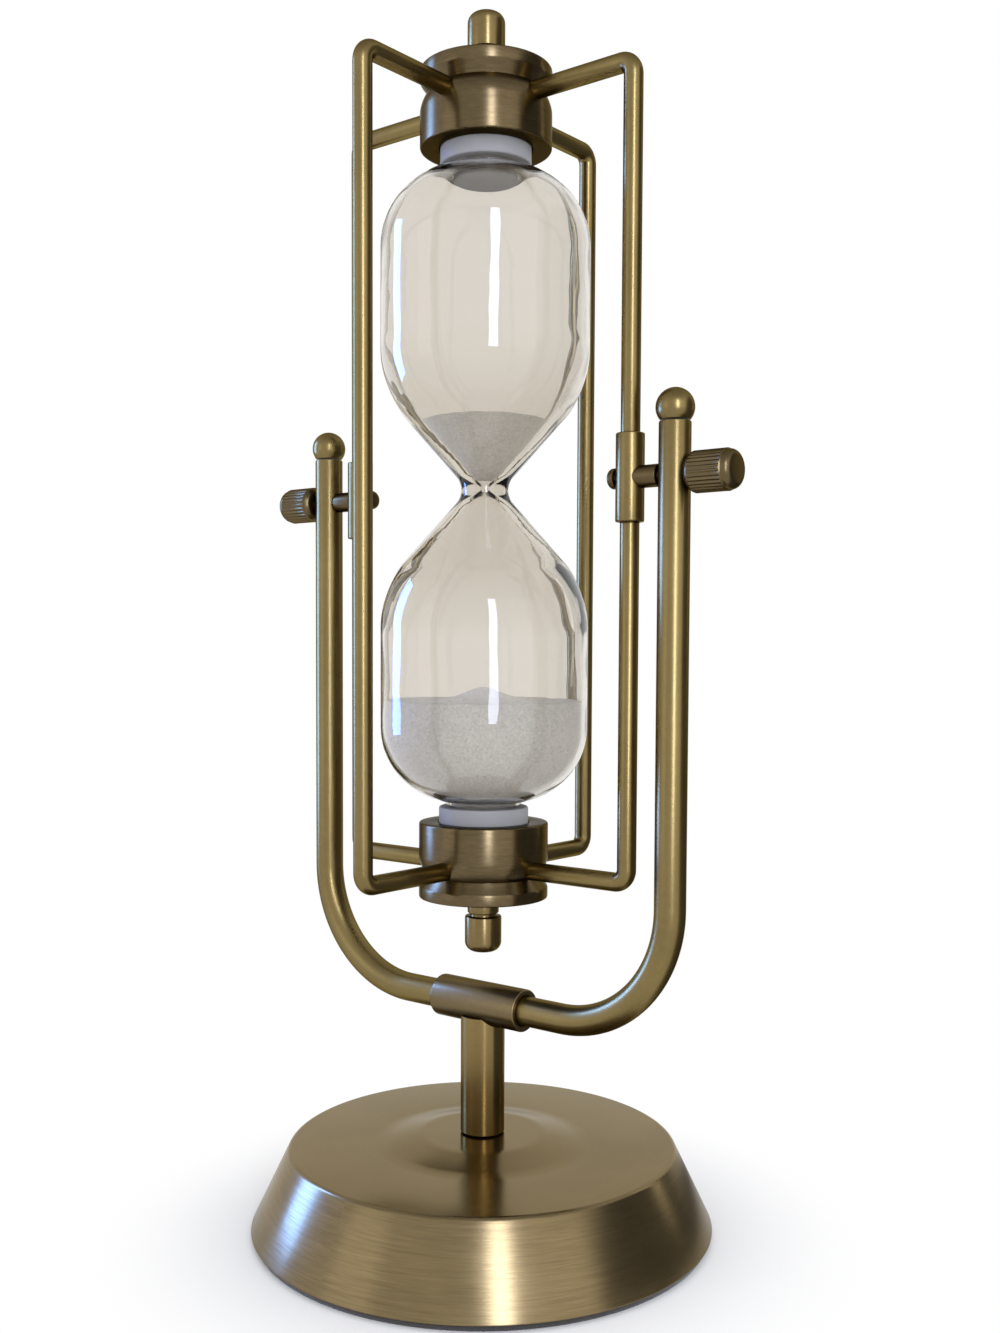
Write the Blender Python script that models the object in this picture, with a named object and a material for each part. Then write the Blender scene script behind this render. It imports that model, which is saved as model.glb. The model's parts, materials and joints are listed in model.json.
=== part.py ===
"""Rotating hourglass: a glass in a four-rod cage that turns between the arms of a U-shaped yoke.

Metres, +Z up. The origin is the centre of the base's underside, and the cage turns about the line
parallel to X at PIVOT_HEIGHT. Every height in the cage is measured from that line.
"""

import math

import bmesh
import bpy
from mathutils import Matrix, Vector

# Fits
SEAT_GAP = 0.0003  # between faces that touch
RUNNING_GAP = 0.0001  # round a shaft in its bore
MERGE_DISTANCE = 0.000001

# Base
BASE_RIM_RADIUS = 0.0516
BASE_FLARE = 0.0102  # how much wider the foot is than the rim
BASE_HEIGHT = 0.0228  # floor to the flat of the top
BASE_WALL = 0.0015
RIM_ROUNDING = 0.0011
BOSS_RADIUS = 0.0163
BOSS_HEIGHT = 0.0025
OGEE_WIDTH = 0.0107
PAD_THICKNESS = 0.0014
PAD_INSET = 0.0012

# Stem and what holds it under the ballast
STEM_RADIUS = 0.0059
STEM_LENGTH = 0.0295  # boss to the underside of the yoke's sleeve
SADDLE_DEPTH = 0.0024
STUD_RADIUS = 0.003
NUT_RADIUS = 0.0055
NUT_HEIGHT = 0.005
NUT_CLEARANCE = 0.0016  # pad to nut
STUD_PROUD = 0.0008
WASHER_RADIUS = 0.009
WASHER_THICKNESS = 0.0012

# Yoke
YOKE_ROD_RADIUS = 0.0039
YOKE_BEND_RADIUS = 0.032
YOKE_SLEEVE_RADIUS = 0.0056
YOKE_SLEEVE_LENGTH = 0.0288
SWING_CLEARANCE = 0.0085  # yoke's sleeve to the finial that swings past it
ARM_ABOVE_PIVOT = 0.0124
BALL_RADIUS = 0.0048
BALL_SEAT_DEPTH = 0.0029  # ball's centre to its flat
BALL_STUD_RADIUS = 0.0014
BALL_STUD_LENGTH = 0.0048

# Pivot
SCREW_RADIUS = 0.0015
SCREW_HEAD_RADIUS = 0.0026
SCREW_HEAD_HEIGHT = 0.0017
SPACER_RADIUS = 0.0028
SPACER_LENGTH = 0.0047
KNOB_RADIUS = 0.005
KNOB_LENGTH = 0.0125
KNOB_CHAMFER = 0.0011
KNOB_RIB_START = 0.0016
KNOB_RIB_LENGTH = 0.0082
KNOB_RIB_DEPTH = 0.0003
KNOB_RIBS = 30
KNOB_DOME_ROUNDING = 0.0024
KNOB_BORE_DEPTH = 0.0085
KNOB_GAP = 0.0005  # arm to knob

# Glass, heights from the neck
BULB_RADIUS = 0.0274
GLASS_WALL = 0.0012
NECK_RADIUS = 0.0062
NECK_ROUNDING = 0.006
CONE_ANGLE = math.radians(41.5)  # between the cones' sides and the axis
CONE_START = 0.002  # height where the cone's line meets the neck
BULB_ROUNDING = 0.026
DOME_RISE = 0.02
DOME_FLAT_RADIUS = 0.007
COLLAR_RADIUS = 0.0102
COLLAR_HEIGHT = 0.0008
GLASS_HALF_LENGTH = 0.0833
ORIFICE_RADIUS = 0.0009
ORIFICE_HALF_LENGTH = 0.0008

# Sand
UPPER_SAND_LEVEL = 0.0186
UPPER_SAND_DIP = 0.001
SAND_TIP = 0.0024
LOWER_SAND_DEPTH = 0.028  # from the glass's lower end
MOUND_HEIGHT = 0.0034
MOUND_RADIUS = 0.009

# Stoppers
STOPPER_RADIUS = 0.0119
STOPPER_HEIGHT = 0.0063
PLUG_RADIUS = 0.0086
PLUG_LENGTH = 0.0032

# Hubs, heights from the cup's open face
CUP_RADIUS = 0.0172
CUP_SHOULDER = 0.012  # height where the wall's line meets the shoulder's slope
SHOULDER_SHARE = 0.95  # part of the shoulder's slope that is rounded
WAIST_RADIUS = 0.0149
FLANGE_RADIUS = 0.0172
FLANGE_FOOT = 0.0143  # height where the flange's slope leaves the waist
FLANGE_RISE = 0.0029
HUB_HEIGHT = 0.0202
HUB_EDGE_ROUNDING = 0.0006
RECESS_DEPTH = 0.0025
SPOKE_IN_HUB = 0.0117  # height of the spokes' axis
SPOKE_HOLE_DEPTH = 0.0065

# Finials
FINIAL_STUD_RADIUS = 0.0024
FINIAL_NECK_RADIUS = 0.0042
FINIAL_NECK_HEIGHT = 0.004
FINIAL_GROOVE_DEPTH = 0.0007
FINIAL_GROOVE_HEIGHT = 0.0008
FINIAL_RADIUS = 0.0049
FINIAL_BODY_HEIGHT = 0.0096
FINIAL_ROUNDING = 0.0027

# Cage rods
CAGE_ROD_RADIUS = 0.00245
ROD_TO_GLASS = 0.01585
CORNER_RADIUS = 0.0034
ROD_SLEEVE_RADIUS = 0.0036
ROD_SLEEVE_LENGTH = 0.0215
ROD_TO_SCREW = 0.002

# Places that follow from the sizes above
SHELL_FOOT = PAD_THICKNESS + SEAT_GAP
BOSS_TOP = BASE_HEIGHT + BOSS_HEIGHT
YOKE_LOW_HEIGHT = BOSS_TOP + STEM_LENGTH + YOKE_SLEEVE_RADIUS
CONE_SLOPE = math.tan(CONE_ANGLE)
DOME_TOP = GLASS_HALF_LENGTH - COLLAR_HEIGHT
DOME_START = DOME_TOP - DOME_RISE
LOWER_SAND_LEVEL = GLASS_HALF_LENGTH - LOWER_SAND_DEPTH
HUB_SEAT = GLASS_HALF_LENGTH + SEAT_GAP + STOPPER_HEIGHT + SEAT_GAP - RECESS_DEPTH
SPOKE_HEIGHT = HUB_SEAT + SPOKE_IN_HUB
FINIAL_LENGTH = FINIAL_NECK_HEIGHT + FINIAL_GROOVE_HEIGHT + FINIAL_BODY_HEIGHT
CAGE_REACH = HUB_SEAT + HUB_HEIGHT + SEAT_GAP + FINIAL_LENGTH
PIVOT_HEIGHT = YOKE_LOW_HEIGHT + YOKE_SLEEVE_RADIUS + SWING_CLEARANCE + CAGE_REACH
ARM_TOP = PIVOT_HEIGHT + ARM_ABOVE_PIVOT
CAGE_RADIUS = BULB_RADIUS + ROD_TO_GLASS + CAGE_ROD_RADIUS
SLEEVE_FACE = CAGE_RADIUS + ROD_SLEEVE_RADIUS
ARM_INNER_FACE = SLEEVE_FACE + SEAT_GAP + SPACER_LENGTH + SEAT_GAP
ARM_AXIS = ARM_INNER_FACE + YOKE_ROD_RADIUS
KNOB_FACE = ARM_AXIS + YOKE_ROD_RADIUS + KNOB_GAP
ROD_END = SCREW_RADIUS + ROD_TO_SCREW
SPOKE_START = WAIST_RADIUS - SPOKE_HOLE_DEPTH

# Facets
FINE_SIDES = 48
ROUND_SIDES = 28
SMALL_SIDES = 18
ROD_SIDES = 14
SMOOTH_ANGLE = math.radians(35)
NUT_SIDES = 6
BALL_STEPS = 9
SCREW_HEAD_STEPS = 4
LEAST_BEND_STEPS = 4
DEGREES_PER_BEND_STEP = 11
TURN_ROUND = math.pi


def clear_scene():
    for item in list(bpy.data.objects):
        bpy.data.objects.remove(item, do_unlink=True)


def finish(name, colour, roughness, metallic, transmission=0.0):
    """A Principled material."""
    material = bpy.data.materials.new(name)
    material.use_nodes = True
    shader = material.node_tree.nodes["Principled BSDF"]
    shader.inputs["Base Color"].default_value = (*colour, 1.0)
    shader.inputs["Roughness"].default_value = roughness
    shader.inputs["Metallic"].default_value = metallic
    shader.inputs["Transmission Weight"].default_value = transmission
    return material


def empty(name, location):
    """A frame that a moving group hangs on."""
    frame = bpy.data.objects.new(name, None)
    bpy.context.collection.objects.link(frame)
    frame.location = location
    return frame


def place(name, shape, material, parent=None, turn=(0.0, 0.0, 0.0)):
    """Closes a shape into a named, smooth-shaded object."""
    bmesh.ops.remove_doubles(shape, verts=shape.verts, dist=MERGE_DISTANCE)
    bmesh.ops.recalc_face_normals(shape, faces=shape.faces)
    mesh = bpy.data.meshes.new(name)
    shape.to_mesh(mesh)
    shape.free()
    mesh.shade_smooth()
    mesh.set_sharp_from_angle(angle=SMOOTH_ANGLE)
    mesh.materials.append(material)
    return place_mesh(name, mesh, parent, turn)


def place_mesh(name, mesh, parent=None, turn=(0.0, 0.0, 0.0)):
    item = bpy.data.objects.new(name, mesh)
    bpy.context.collection.objects.link(item)
    item.parent = parent
    item.rotation_euler = turn
    return item


def cut(item, cutter):
    """Takes a hidden helper's shape away from an object."""
    cutter.hide_render = True
    cutter.display_type = "WIRE"
    modifier = item.modifiers.new("cut", "BOOLEAN")
    modifier.operation = "DIFFERENCE"
    modifier.solver = "EXACT"
    modifier.object = cutter


def bar(shape, radius, start, end, sides):
    """Adds a plain round bar between two points to a shape."""
    start = Vector(start)
    along = Vector(end) - start
    turn = along.to_track_quat("Z", "Y").to_matrix().to_4x4()
    middle = Matrix.Translation(start + along / 2)
    bmesh.ops.create_cone(
        shape,
        cap_ends=True,
        segments=sides,
        radius1=radius,
        radius2=radius,
        depth=along.length,
        matrix=middle @ turn,
    )


def bar_cutter(name, radius, spans, parent=None, sides=SMALL_SIDES):
    """A helper made of round bars, each from one point to another."""
    shape = bmesh.new()
    for start, end in spans:
        bar(shape, radius, start, end, sides)
    return place(name, shape, CUTTER, parent)


def rounded(corners, steps=4):
    """The points of an outline given as (radius, height, rounding), with its inner corners rounded."""
    points = [Vector(corners[0][:2])]
    for before, corner, after in zip(corners, corners[1:], corners[2:]):
        middle = Vector(corner[:2])
        rounding = corner[2]
        if rounding == 0.0:
            points.append(middle)
            continue
        back = (Vector(before[:2]) - middle).normalized()
        ahead = (Vector(after[:2]) - middle).normalized()
        half = back.angle(ahead) / 2
        centre = middle + (back + ahead).normalized() * (rounding / math.sin(half))
        first = middle + back * (rounding / math.tan(half)) - centre
        swing = first.angle_signed(middle + ahead * (rounding / math.tan(half)) - centre)
        for step in range(steps + 1):
            points.append(centre + Matrix.Rotation(-swing * step / steps, 2) @ first)
    points.append(Vector(corners[-1][:2]))
    return [tuple(point) for point in points]


def turned_shape(outline, sides, closed=False):
    """An outline of (radius, height) points spun about Z."""
    shape = bmesh.new()
    points = [shape.verts.new((radius, 0.0, height)) for radius, height in outline]
    edges = [shape.edges.new(pair) for pair in zip(points, points[1:])]
    if closed:
        edges.append(shape.edges.new((points[-1], points[0])))
    bmesh.ops.spin(
        shape,
        geom=points + edges,
        axis=(0.0, 0.0, 1.0),
        angle=2 * math.pi,
        steps=sides,
        use_merge=True,
    )
    return shape


def bent_rod(name, radius, start, heading, moves, material, parent=None, turn=(0.0, 0.0, 0.0)):
    """A round rod in the XZ plane, as straight runs of (length, bend radius, bend angle)."""
    tip = Vector(start)
    heading = Vector(heading)
    across = Vector((0.0, 1.0, 0.0))
    shape = bmesh.new()
    facing = Matrix.Translation(tip) @ heading.to_track_quat("Z", "Y").to_matrix().to_4x4()
    bmesh.ops.create_circle(shape, cap_ends=True, segments=ROD_SIDES, radius=radius, matrix=facing)
    end = shape.verts[:] + shape.edges[:] + shape.faces[:]
    for length, bend_radius, bend in moves:
        end = bmesh.ops.extrude_face_region(shape, geom=end)["geom"]
        moved = [part for part in end if isinstance(part, bmesh.types.BMVert)]
        bmesh.ops.translate(shape, verts=moved, vec=heading * length)
        tip = tip + heading * length
        if bend == 0.0:
            continue
        centre = tip + heading.cross(across) * math.copysign(bend_radius, -bend)
        end = bmesh.ops.spin(
            shape,
            geom=end,
            cent=centre,
            axis=across,
            angle=bend,
            steps=max(LEAST_BEND_STEPS, round(math.degrees(abs(bend)) / DEGREES_PER_BEND_STEP)),
        )["geom_last"]
        swing = Matrix.Rotation(bend, 3, across)
        tip = centre + swing @ (tip - centre)
        heading = swing @ heading
    return place(name, shape, material, parent, turn)


def base_radius(height):
    """The shell's outer radius at a height on its sloping side."""
    return BASE_RIM_RADIUS + BASE_FLARE * (BASE_HEIGHT - height) / (BASE_HEIGHT - SHELL_FOOT)


def base_inner_radius(height):
    slope = BASE_FLARE / (BASE_HEIGHT - SHELL_FOOT)
    return base_radius(height) - BASE_WALL * math.hypot(1.0, slope)


def ogee(drop, steps=6):
    """The S-curve from the boss down to the flat of the base, lowered by drop."""
    points = []
    for step in range(steps + 1):
        share = step / steps
        rise = BOSS_HEIGHT * (1 + math.cos(math.pi * share)) / 2
        points.append((BOSS_RADIUS + OGEE_WIDTH * share, BASE_HEIGHT + rise - drop))
    return points


def make_base():
    pad_radius = base_radius(SHELL_FOOT) - PAD_INSET
    pad = [(0, 0), (pad_radius, 0), (pad_radius, PAD_THICKNESS), (0, PAD_THICKNESS)]
    place("felt_pad", turned_shape(pad, FINE_SIDES), FELT)

    hole = STUD_RADIUS + SEAT_GAP
    ceiling = BASE_HEIGHT - BASE_WALL
    side = rounded(
        [
            (BOSS_RADIUS + OGEE_WIDTH, BASE_HEIGHT, 0.0),
            (BASE_RIM_RADIUS, BASE_HEIGHT, RIM_ROUNDING),
            (base_radius(SHELL_FOOT), SHELL_FOOT, 0.0),
        ]
    )
    outer = [(hole, BOSS_TOP), *ogee(0.0), *side[1:]]
    inner = [
        (base_inner_radius(SHELL_FOOT), SHELL_FOOT),
        (base_inner_radius(ceiling), ceiling),
        *reversed(ogee(BASE_WALL, steps=2)),
        (hole, BOSS_TOP - BASE_WALL),
    ]
    place("base_shell", turned_shape(outer + inner, FINE_SIDES, closed=True), BRASS)

    nut_low = PAD_THICKNESS + NUT_CLEARANCE
    nut_top = nut_low + NUT_HEIGHT
    washer_low = nut_top + SEAT_GAP
    washer_top = washer_low + WASHER_THICKNESS
    weight_low = washer_top + SEAT_GAP
    weight_top = ceiling - SEAT_GAP
    weight = [
        (hole, weight_low),
        (base_inner_radius(weight_low) - SEAT_GAP, weight_low),
        (base_inner_radius(weight_top) - SEAT_GAP, weight_top),
        (hole, weight_top),
    ]
    place("base_weight", turned_shape(weight, FINE_SIDES, closed=True), IRON)
    washer = [
        (hole, washer_low),
        (WASHER_RADIUS, washer_low),
        (WASHER_RADIUS, washer_top),
        (hole, washer_top),
    ]
    place("base_washer", turned_shape(washer, SMALL_SIDES, closed=True), STEEL)

    nut = bmesh.new()
    bar(nut, NUT_RADIUS, (0, 0, nut_low), (0, 0, nut_top), NUT_SIDES)
    nut = place("base_nut", nut, STEEL)
    thread = [((0, 0, 0), (0, 0, BASE_HEIGHT))]
    cut(nut, bar_cutter("nut_thread", STUD_RADIUS + RUNNING_GAP, thread))
    make_stem(nut_low - STUD_PROUD)


def make_stem(stud_end):
    seat = BOSS_TOP + SEAT_GAP
    top = YOKE_LOW_HEIGHT - YOKE_SLEEVE_RADIUS + SADDLE_DEPTH
    outline = [
        (0, stud_end),
        (STUD_RADIUS, stud_end),
        (STUD_RADIUS, seat),
        (STEM_RADIUS, seat),
        (STEM_RADIUS, top),
        (0, top),
    ]
    stem = place("stem_post", turned_shape(outline, ROUND_SIDES), BRASS)
    reach = YOKE_SLEEVE_LENGTH
    line = [((-reach, 0, YOKE_LOW_HEIGHT), (reach, 0, YOKE_LOW_HEIGHT))]
    cut(stem, bar_cutter("stem_saddle", YOKE_SLEEVE_RADIUS + SEAT_GAP, line, sides=ROUND_SIDES))


def make_yoke():
    bore = YOKE_ROD_RADIUS + RUNNING_GAP
    half = YOKE_SLEEVE_LENGTH / 2
    edge = HUB_EDGE_ROUNDING
    tube = [
        (bore, -half),
        (YOKE_SLEEVE_RADIUS - edge, -half),
        (YOKE_SLEEVE_RADIUS, edge - half),
        (YOKE_SLEEVE_RADIUS, half - edge),
        (YOKE_SLEEVE_RADIUS - edge, half),
        (bore, half),
    ]
    low = empty("yoke_centre", (0, 0, YOKE_LOW_HEIGHT))
    lying = (0.0, math.pi / 2, 0.0)
    place("yoke_sleeve", turned_shape(tube, ROUND_SIDES, closed=True), BRASS, low, lying)

    arm = ARM_TOP - YOKE_LOW_HEIGHT - YOKE_BEND_RADIUS
    floor_run = 2 * (ARM_AXIS - YOKE_BEND_RADIUS)
    quarter = math.pi / 2
    yoke = bent_rod(
        "yoke_rod",
        YOKE_ROD_RADIUS,
        (-ARM_AXIS, 0, ARM_TOP),
        (0, 0, -1),
        [
            (arm, YOKE_BEND_RADIUS, -quarter),
            (floor_run, YOKE_BEND_RADIUS, -quarter),
            (arm, 0.0, 0.0),
        ],
        BRASS,
    )
    beyond = ARM_AXIS + 2 * YOKE_ROD_RADIUS
    pivot_line = [((-beyond, 0, PIVOT_HEIGHT), (beyond, 0, PIVOT_HEIGHT))]
    cut(yoke, bar_cutter("arm_bores", SCREW_RADIUS + RUNNING_GAP, pivot_line))
    stud_floor = ARM_TOP - BALL_STUD_LENGTH - SEAT_GAP
    above = ARM_TOP + BALL_RADIUS
    studs = [((x, 0, stud_floor), (x, 0, above)) for x in (-ARM_AXIS, ARM_AXIS)]
    cut(yoke, bar_cutter("ball_stud_holes", BALL_STUD_RADIUS + RUNNING_GAP, studs))

    flat_angle = -math.asin(BALL_SEAT_DEPTH / BALL_RADIUS)
    flat = -BALL_SEAT_DEPTH
    outline = []
    for step in range(BALL_STEPS + 1):
        angle = math.pi / 2 + (flat_angle - math.pi / 2) * step / BALL_STEPS
        outline.append((BALL_RADIUS * math.cos(angle), BALL_RADIUS * math.sin(angle)))
    outline[0] = (0.0, BALL_RADIUS)
    stud_end = flat - SEAT_GAP - BALL_STUD_LENGTH
    outline += [(BALL_STUD_RADIUS, flat), (BALL_STUD_RADIUS, stud_end), (0.0, stud_end)]
    centre_height = ARM_TOP + SEAT_GAP + BALL_SEAT_DEPTH
    for side, x in (("left", -ARM_AXIS), ("right", ARM_AXIS)):
        seat = empty(f"{side}_ball_seat", (x, 0, centre_height))
        place(f"{side}_ball_finial", turned_shape(outline, SMALL_SIDES), BRASS, seat)


def make_pivots(pivot):
    """Sleeves, spacers and screws on both sides. Their outlines run out along +X from the cage's axis."""
    seat = CAGE_RADIUS - ROD_SLEEVE_RADIUS - SEAT_GAP
    screw_end = KNOB_FACE + KNOB_BORE_DEPTH - SEAT_GAP
    head = [(0.0, seat - SCREW_HEAD_HEIGHT)]
    for step in range(1, SCREW_HEAD_STEPS + 1):
        angle = math.pi / 2 * step / SCREW_HEAD_STEPS
        head.append((SCREW_HEAD_RADIUS * math.sin(angle), seat - SCREW_HEAD_HEIGHT * math.cos(angle)))
    screw = [*head, (SCREW_RADIUS, seat), (SCREW_RADIUS, screw_end), (0.0, screw_end)]

    hole = SCREW_RADIUS + RUNNING_GAP
    outer_end = ARM_INNER_FACE - SEAT_GAP
    spacer = [
        (hole, CAGE_RADIUS),
        (SPACER_RADIUS, CAGE_RADIUS),
        (SPACER_RADIUS, outer_end),
        (hole, outer_end),
    ]

    half = ROD_SLEEVE_LENGTH / 2
    bore = CAGE_ROD_RADIUS + RUNNING_GAP
    sleeve = [(bore, -half), (ROD_SLEEVE_RADIUS, -half), (ROD_SLEEVE_RADIUS, half), (bore, half)]

    for side, way in (("left", -1), ("right", 1)):
        out = (0.0, way * math.pi / 2, 0.0)
        place(f"{side}_pivot_screw", turned_shape(screw, SMALL_SIDES), BRASS, pivot, out)
        tube = turned_shape(spacer, SMALL_SIDES, closed=True)
        tube = place(f"{side}_pivot_spacer", tube, BRASS, pivot, out)
        rod_line = way * CAGE_RADIUS
        upright = [((rod_line, 0, -half), (rod_line, 0, half))]
        saddle = ROD_SLEEVE_RADIUS + SEAT_GAP
        cut(tube, bar_cutter(f"{side}_spacer_saddle", saddle, upright, pivot, ROUND_SIDES))

        centre = empty(f"{side}_sleeve_centre", (rod_line, 0, 0))
        centre.parent = pivot
        joint = turned_shape(sleeve, SMALL_SIDES, closed=True)
        joint = place(f"{side}_rod_sleeve", joint, BRASS, centre)
        through = [((-2 * ROD_SLEEVE_RADIUS, 0, 0), (2 * ROD_SLEEVE_RADIUS, 0, 0))]
        cut(joint, bar_cutter(f"{side}_sleeve_bore", hole, through, centre))


def make_knobs(pivot):
    hole = SCREW_RADIUS + RUNNING_GAP
    floor = KNOB_BORE_DEPTH
    rib_end = KNOB_RIB_START + KNOB_RIB_LENGTH
    dome = rounded(
        [
            (KNOB_RADIUS, rib_end, 0.0),
            (KNOB_RADIUS, KNOB_LENGTH, KNOB_DOME_ROUNDING),
            (0.0, KNOB_LENGTH, 0.0),
        ],
        steps=2,
    )
    outline = [
        (0.0, floor),
        (hole, floor),
        (hole, 0.0),
        (KNOB_RADIUS - KNOB_CHAMFER, 0.0),
        (KNOB_RADIUS, KNOB_RIB_START),
        (KNOB_RADIUS, KNOB_RIB_START + KNOB_RIB_DEPTH),
        (KNOB_RADIUS, rib_end - KNOB_RIB_DEPTH),
        *dome,
    ]
    for side, way in (("left", -1), ("right", 1)):
        shape = turned_shape(outline, 2 * KNOB_RIBS)
        for vert in shape.verts:
            ribbed = KNOB_RIB_START < vert.co.z < rib_end and vert.co.xy.length > KNOB_RADIUS / 2
            slot = round(math.atan2(vert.co.y, vert.co.x) * KNOB_RIBS / math.pi) % 2 == 1
            if ribbed and slot:
                vert.co.xy *= 1 - KNOB_RIB_DEPTH / KNOB_RADIUS
        seat = empty(f"{side}_knob_seat", (way * KNOB_FACE, 0, 0))
        seat.parent = pivot
        place(f"{side}_knob", shape, BRASS, seat, (0.0, way * math.pi / 2, 0.0))


def make_rods(pivot):
    quarter = math.pi / 2
    spoke = CAGE_RADIUS - SPOKE_START - CORNER_RADIUS
    upright = SPOKE_HEIGHT - CORNER_RADIUS
    half_moves = [(spoke, CORNER_RADIUS, quarter), (upright - ROD_END, 0.0, 0.0)]
    whole_moves = [
        (spoke, CORNER_RADIUS, quarter),
        (2 * upright, CORNER_RADIUS, quarter),
        (spoke, 0.0, 0.0),
    ]
    start = (SPOKE_START, 0, SPOKE_HEIGHT)
    for name, moves, turn in (
        ("right_upper_rod", half_moves, (0.0, 0.0, 0.0)),
        ("right_lower_rod", half_moves, (TURN_ROUND, 0.0, 0.0)),
        ("left_upper_rod", half_moves, (0.0, 0.0, TURN_ROUND)),
        ("left_lower_rod", half_moves, (TURN_ROUND, 0.0, TURN_ROUND)),
        ("front_rod", whole_moves, (0.0, 0.0, -quarter)),
        ("back_rod", whole_moves, (0.0, 0.0, quarter)),
    ):
        bent_rod(name, CAGE_ROD_RADIUS, start, (1, 0, 0), moves, BRASS, pivot, turn)


def hub_outline():
    hole = FINIAL_STUD_RADIUS + RUNNING_GAP
    recess = STOPPER_RADIUS + SEAT_GAP
    slope_top = FLANGE_FOOT + FLANGE_RISE
    inward = CUP_RADIUS - WAIST_RADIUS
    upward = FLANGE_FOOT - CUP_SHOULDER
    shoulder = SHOULDER_SHARE * math.hypot(inward, upward) / math.tan(math.atan2(inward, upward) / 2)
    outer = rounded(
        [
            (recess, 0.0, 0.0),
            (CUP_RADIUS, 0.0, HUB_EDGE_ROUNDING),
            (CUP_RADIUS, CUP_SHOULDER, shoulder),
            (WAIST_RADIUS, FLANGE_FOOT, 0.0),
            (FLANGE_RADIUS, slope_top, 0.0),
            (FLANGE_RADIUS, HUB_HEIGHT, HUB_EDGE_ROUNDING),
            (hole, HUB_HEIGHT, 0.0),
        ],
        steps=3,
    )
    return [(hole, RECESS_DEPTH), (recess, RECESS_DEPTH), *outer]


def finial_outline():
    """From the stud's end in the hub to the knob's tip, heights from the hub's outer face."""
    stud_end = RECESS_DEPTH - HUB_HEIGHT
    seat = SEAT_GAP
    groove = seat + FINIAL_NECK_HEIGHT
    body = groove + FINIAL_GROOVE_HEIGHT
    tip = body + FINIAL_BODY_HEIGHT
    groove_radius = FINIAL_NECK_RADIUS - FINIAL_GROOVE_DEPTH
    knob = rounded(
        [
            (FINIAL_RADIUS, body, 0.0),
            (FINIAL_RADIUS, tip, FINIAL_ROUNDING),
            (0.0, tip, 0.0),
        ],
        steps=5,
    )
    return [
        (0.0, stud_end),
        (FINIAL_STUD_RADIUS, stud_end),
        (FINIAL_STUD_RADIUS, seat),
        (FINIAL_NECK_RADIUS, seat),
        (FINIAL_NECK_RADIUS, groove),
        (groove_radius, groove),
        (groove_radius, body),
        *knob,
    ]


def stopper_outline():
    """Heights from the flange's face that meets the glass."""
    return [
        (0.0, -PLUG_LENGTH),
        (PLUG_RADIUS, -PLUG_LENGTH),
        (PLUG_RADIUS, 0.0),
        (STOPPER_RADIUS, 0.0),
        (STOPPER_RADIUS, STOPPER_HEIGHT),
        (0.0, STOPPER_HEIGHT),
    ]


def raised(outline, height):
    return [(radius, level + height) for radius, level in outline]


def make_ends(pivot):
    """Hub, finial and stopper, upright above the glass and turned over below it."""
    seat = GLASS_HALF_LENGTH + SEAT_GAP
    reach = CAGE_RADIUS
    for side, turn in (("top", 0.0), ("bottom", TURN_ROUND)):
        over = (turn, 0.0, 0.0)
        end = empty(f"{side}_end", (0, 0, 0))
        end.parent = pivot
        end.rotation_euler = over
        spool = turned_shape(raised(hub_outline(), HUB_SEAT), ROUND_SIDES, closed=True)
        hub = place(f"{side}_hub", spool, BRASS, end)
        spokes = []
        for quarter in range(4):
            way = Matrix.Rotation(quarter * math.pi / 2, 3, "Z") @ Vector((1.0, 0.0, 0.0))
            level = Vector((0.0, 0.0, SPOKE_HEIGHT))
            spokes.append((level + way * (SPOKE_START - SEAT_GAP), level + way * reach))
        hole = CAGE_ROD_RADIUS + RUNNING_GAP
        cut(hub, bar_cutter(f"{side}_spoke_holes", hole, spokes, end, ROD_SIDES))
        finial = raised(finial_outline(), HUB_SEAT + HUB_HEIGHT)
        place(f"{side}_finial", turned_shape(finial, SMALL_SIDES), BRASS, end)
        place(f"{side}_stopper", turned_shape(raised(stopper_outline(), seat), ROUND_SIDES), PLASTIC, end)


def dome(radius, top, last_radius, steps=6):
    """The quarter ellipse from a bulb's wall in to last_radius."""
    width = radius - DOME_FLAT_RADIUS
    last = math.acos((last_radius - DOME_FLAT_RADIUS) / width)
    points = []
    for step in range(steps + 1):
        angle = last * step / steps
        across = DOME_FLAT_RADIUS + width * math.cos(angle)
        points.append((across, DOME_START + (top - DOME_START) * math.sin(angle)))
    return points


def bulb_outside():
    """One bulb's outer outline, from the neck's middle to the collar's end."""
    wall_height = CONE_START + (BULB_RADIUS - NECK_RADIUS) / CONE_SLOPE
    cone = rounded(
        [
            (NECK_RADIUS, -CONE_START, 0.0),
            (NECK_RADIUS, CONE_START, NECK_ROUNDING),
            (BULB_RADIUS, wall_height, BULB_ROUNDING),
            (BULB_RADIUS, DOME_START, 0.0),
        ],
        steps=5,
    )
    cone = [point for point in cone[:-1] if point[1] > 0.0]
    wall = dome(BULB_RADIUS, DOME_TOP, COLLAR_RADIUS)
    return [*cone, *wall, (COLLAR_RADIUS, GLASS_HALF_LENGTH)]


def bulb_inside(gap, last_radius):
    """One bulb's inner outline moved in by gap, from the orifice to last_radius."""
    wall = BULB_RADIUS - GLASS_WALL
    wall_height = ORIFICE_HALF_LENGTH + (wall - ORIFICE_RADIUS) / CONE_SLOPE
    cone = rounded(
        [
            (ORIFICE_RADIUS - gap, ORIFICE_HALF_LENGTH, 0.0),
            (wall - gap, wall_height, BULB_ROUNDING),
            (wall - gap, DOME_START, 0.0),
        ],
        steps=5,
    )
    return [*cone[:-1], *dome(wall - gap, DOME_TOP - GLASS_WALL - gap, last_radius)]


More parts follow.
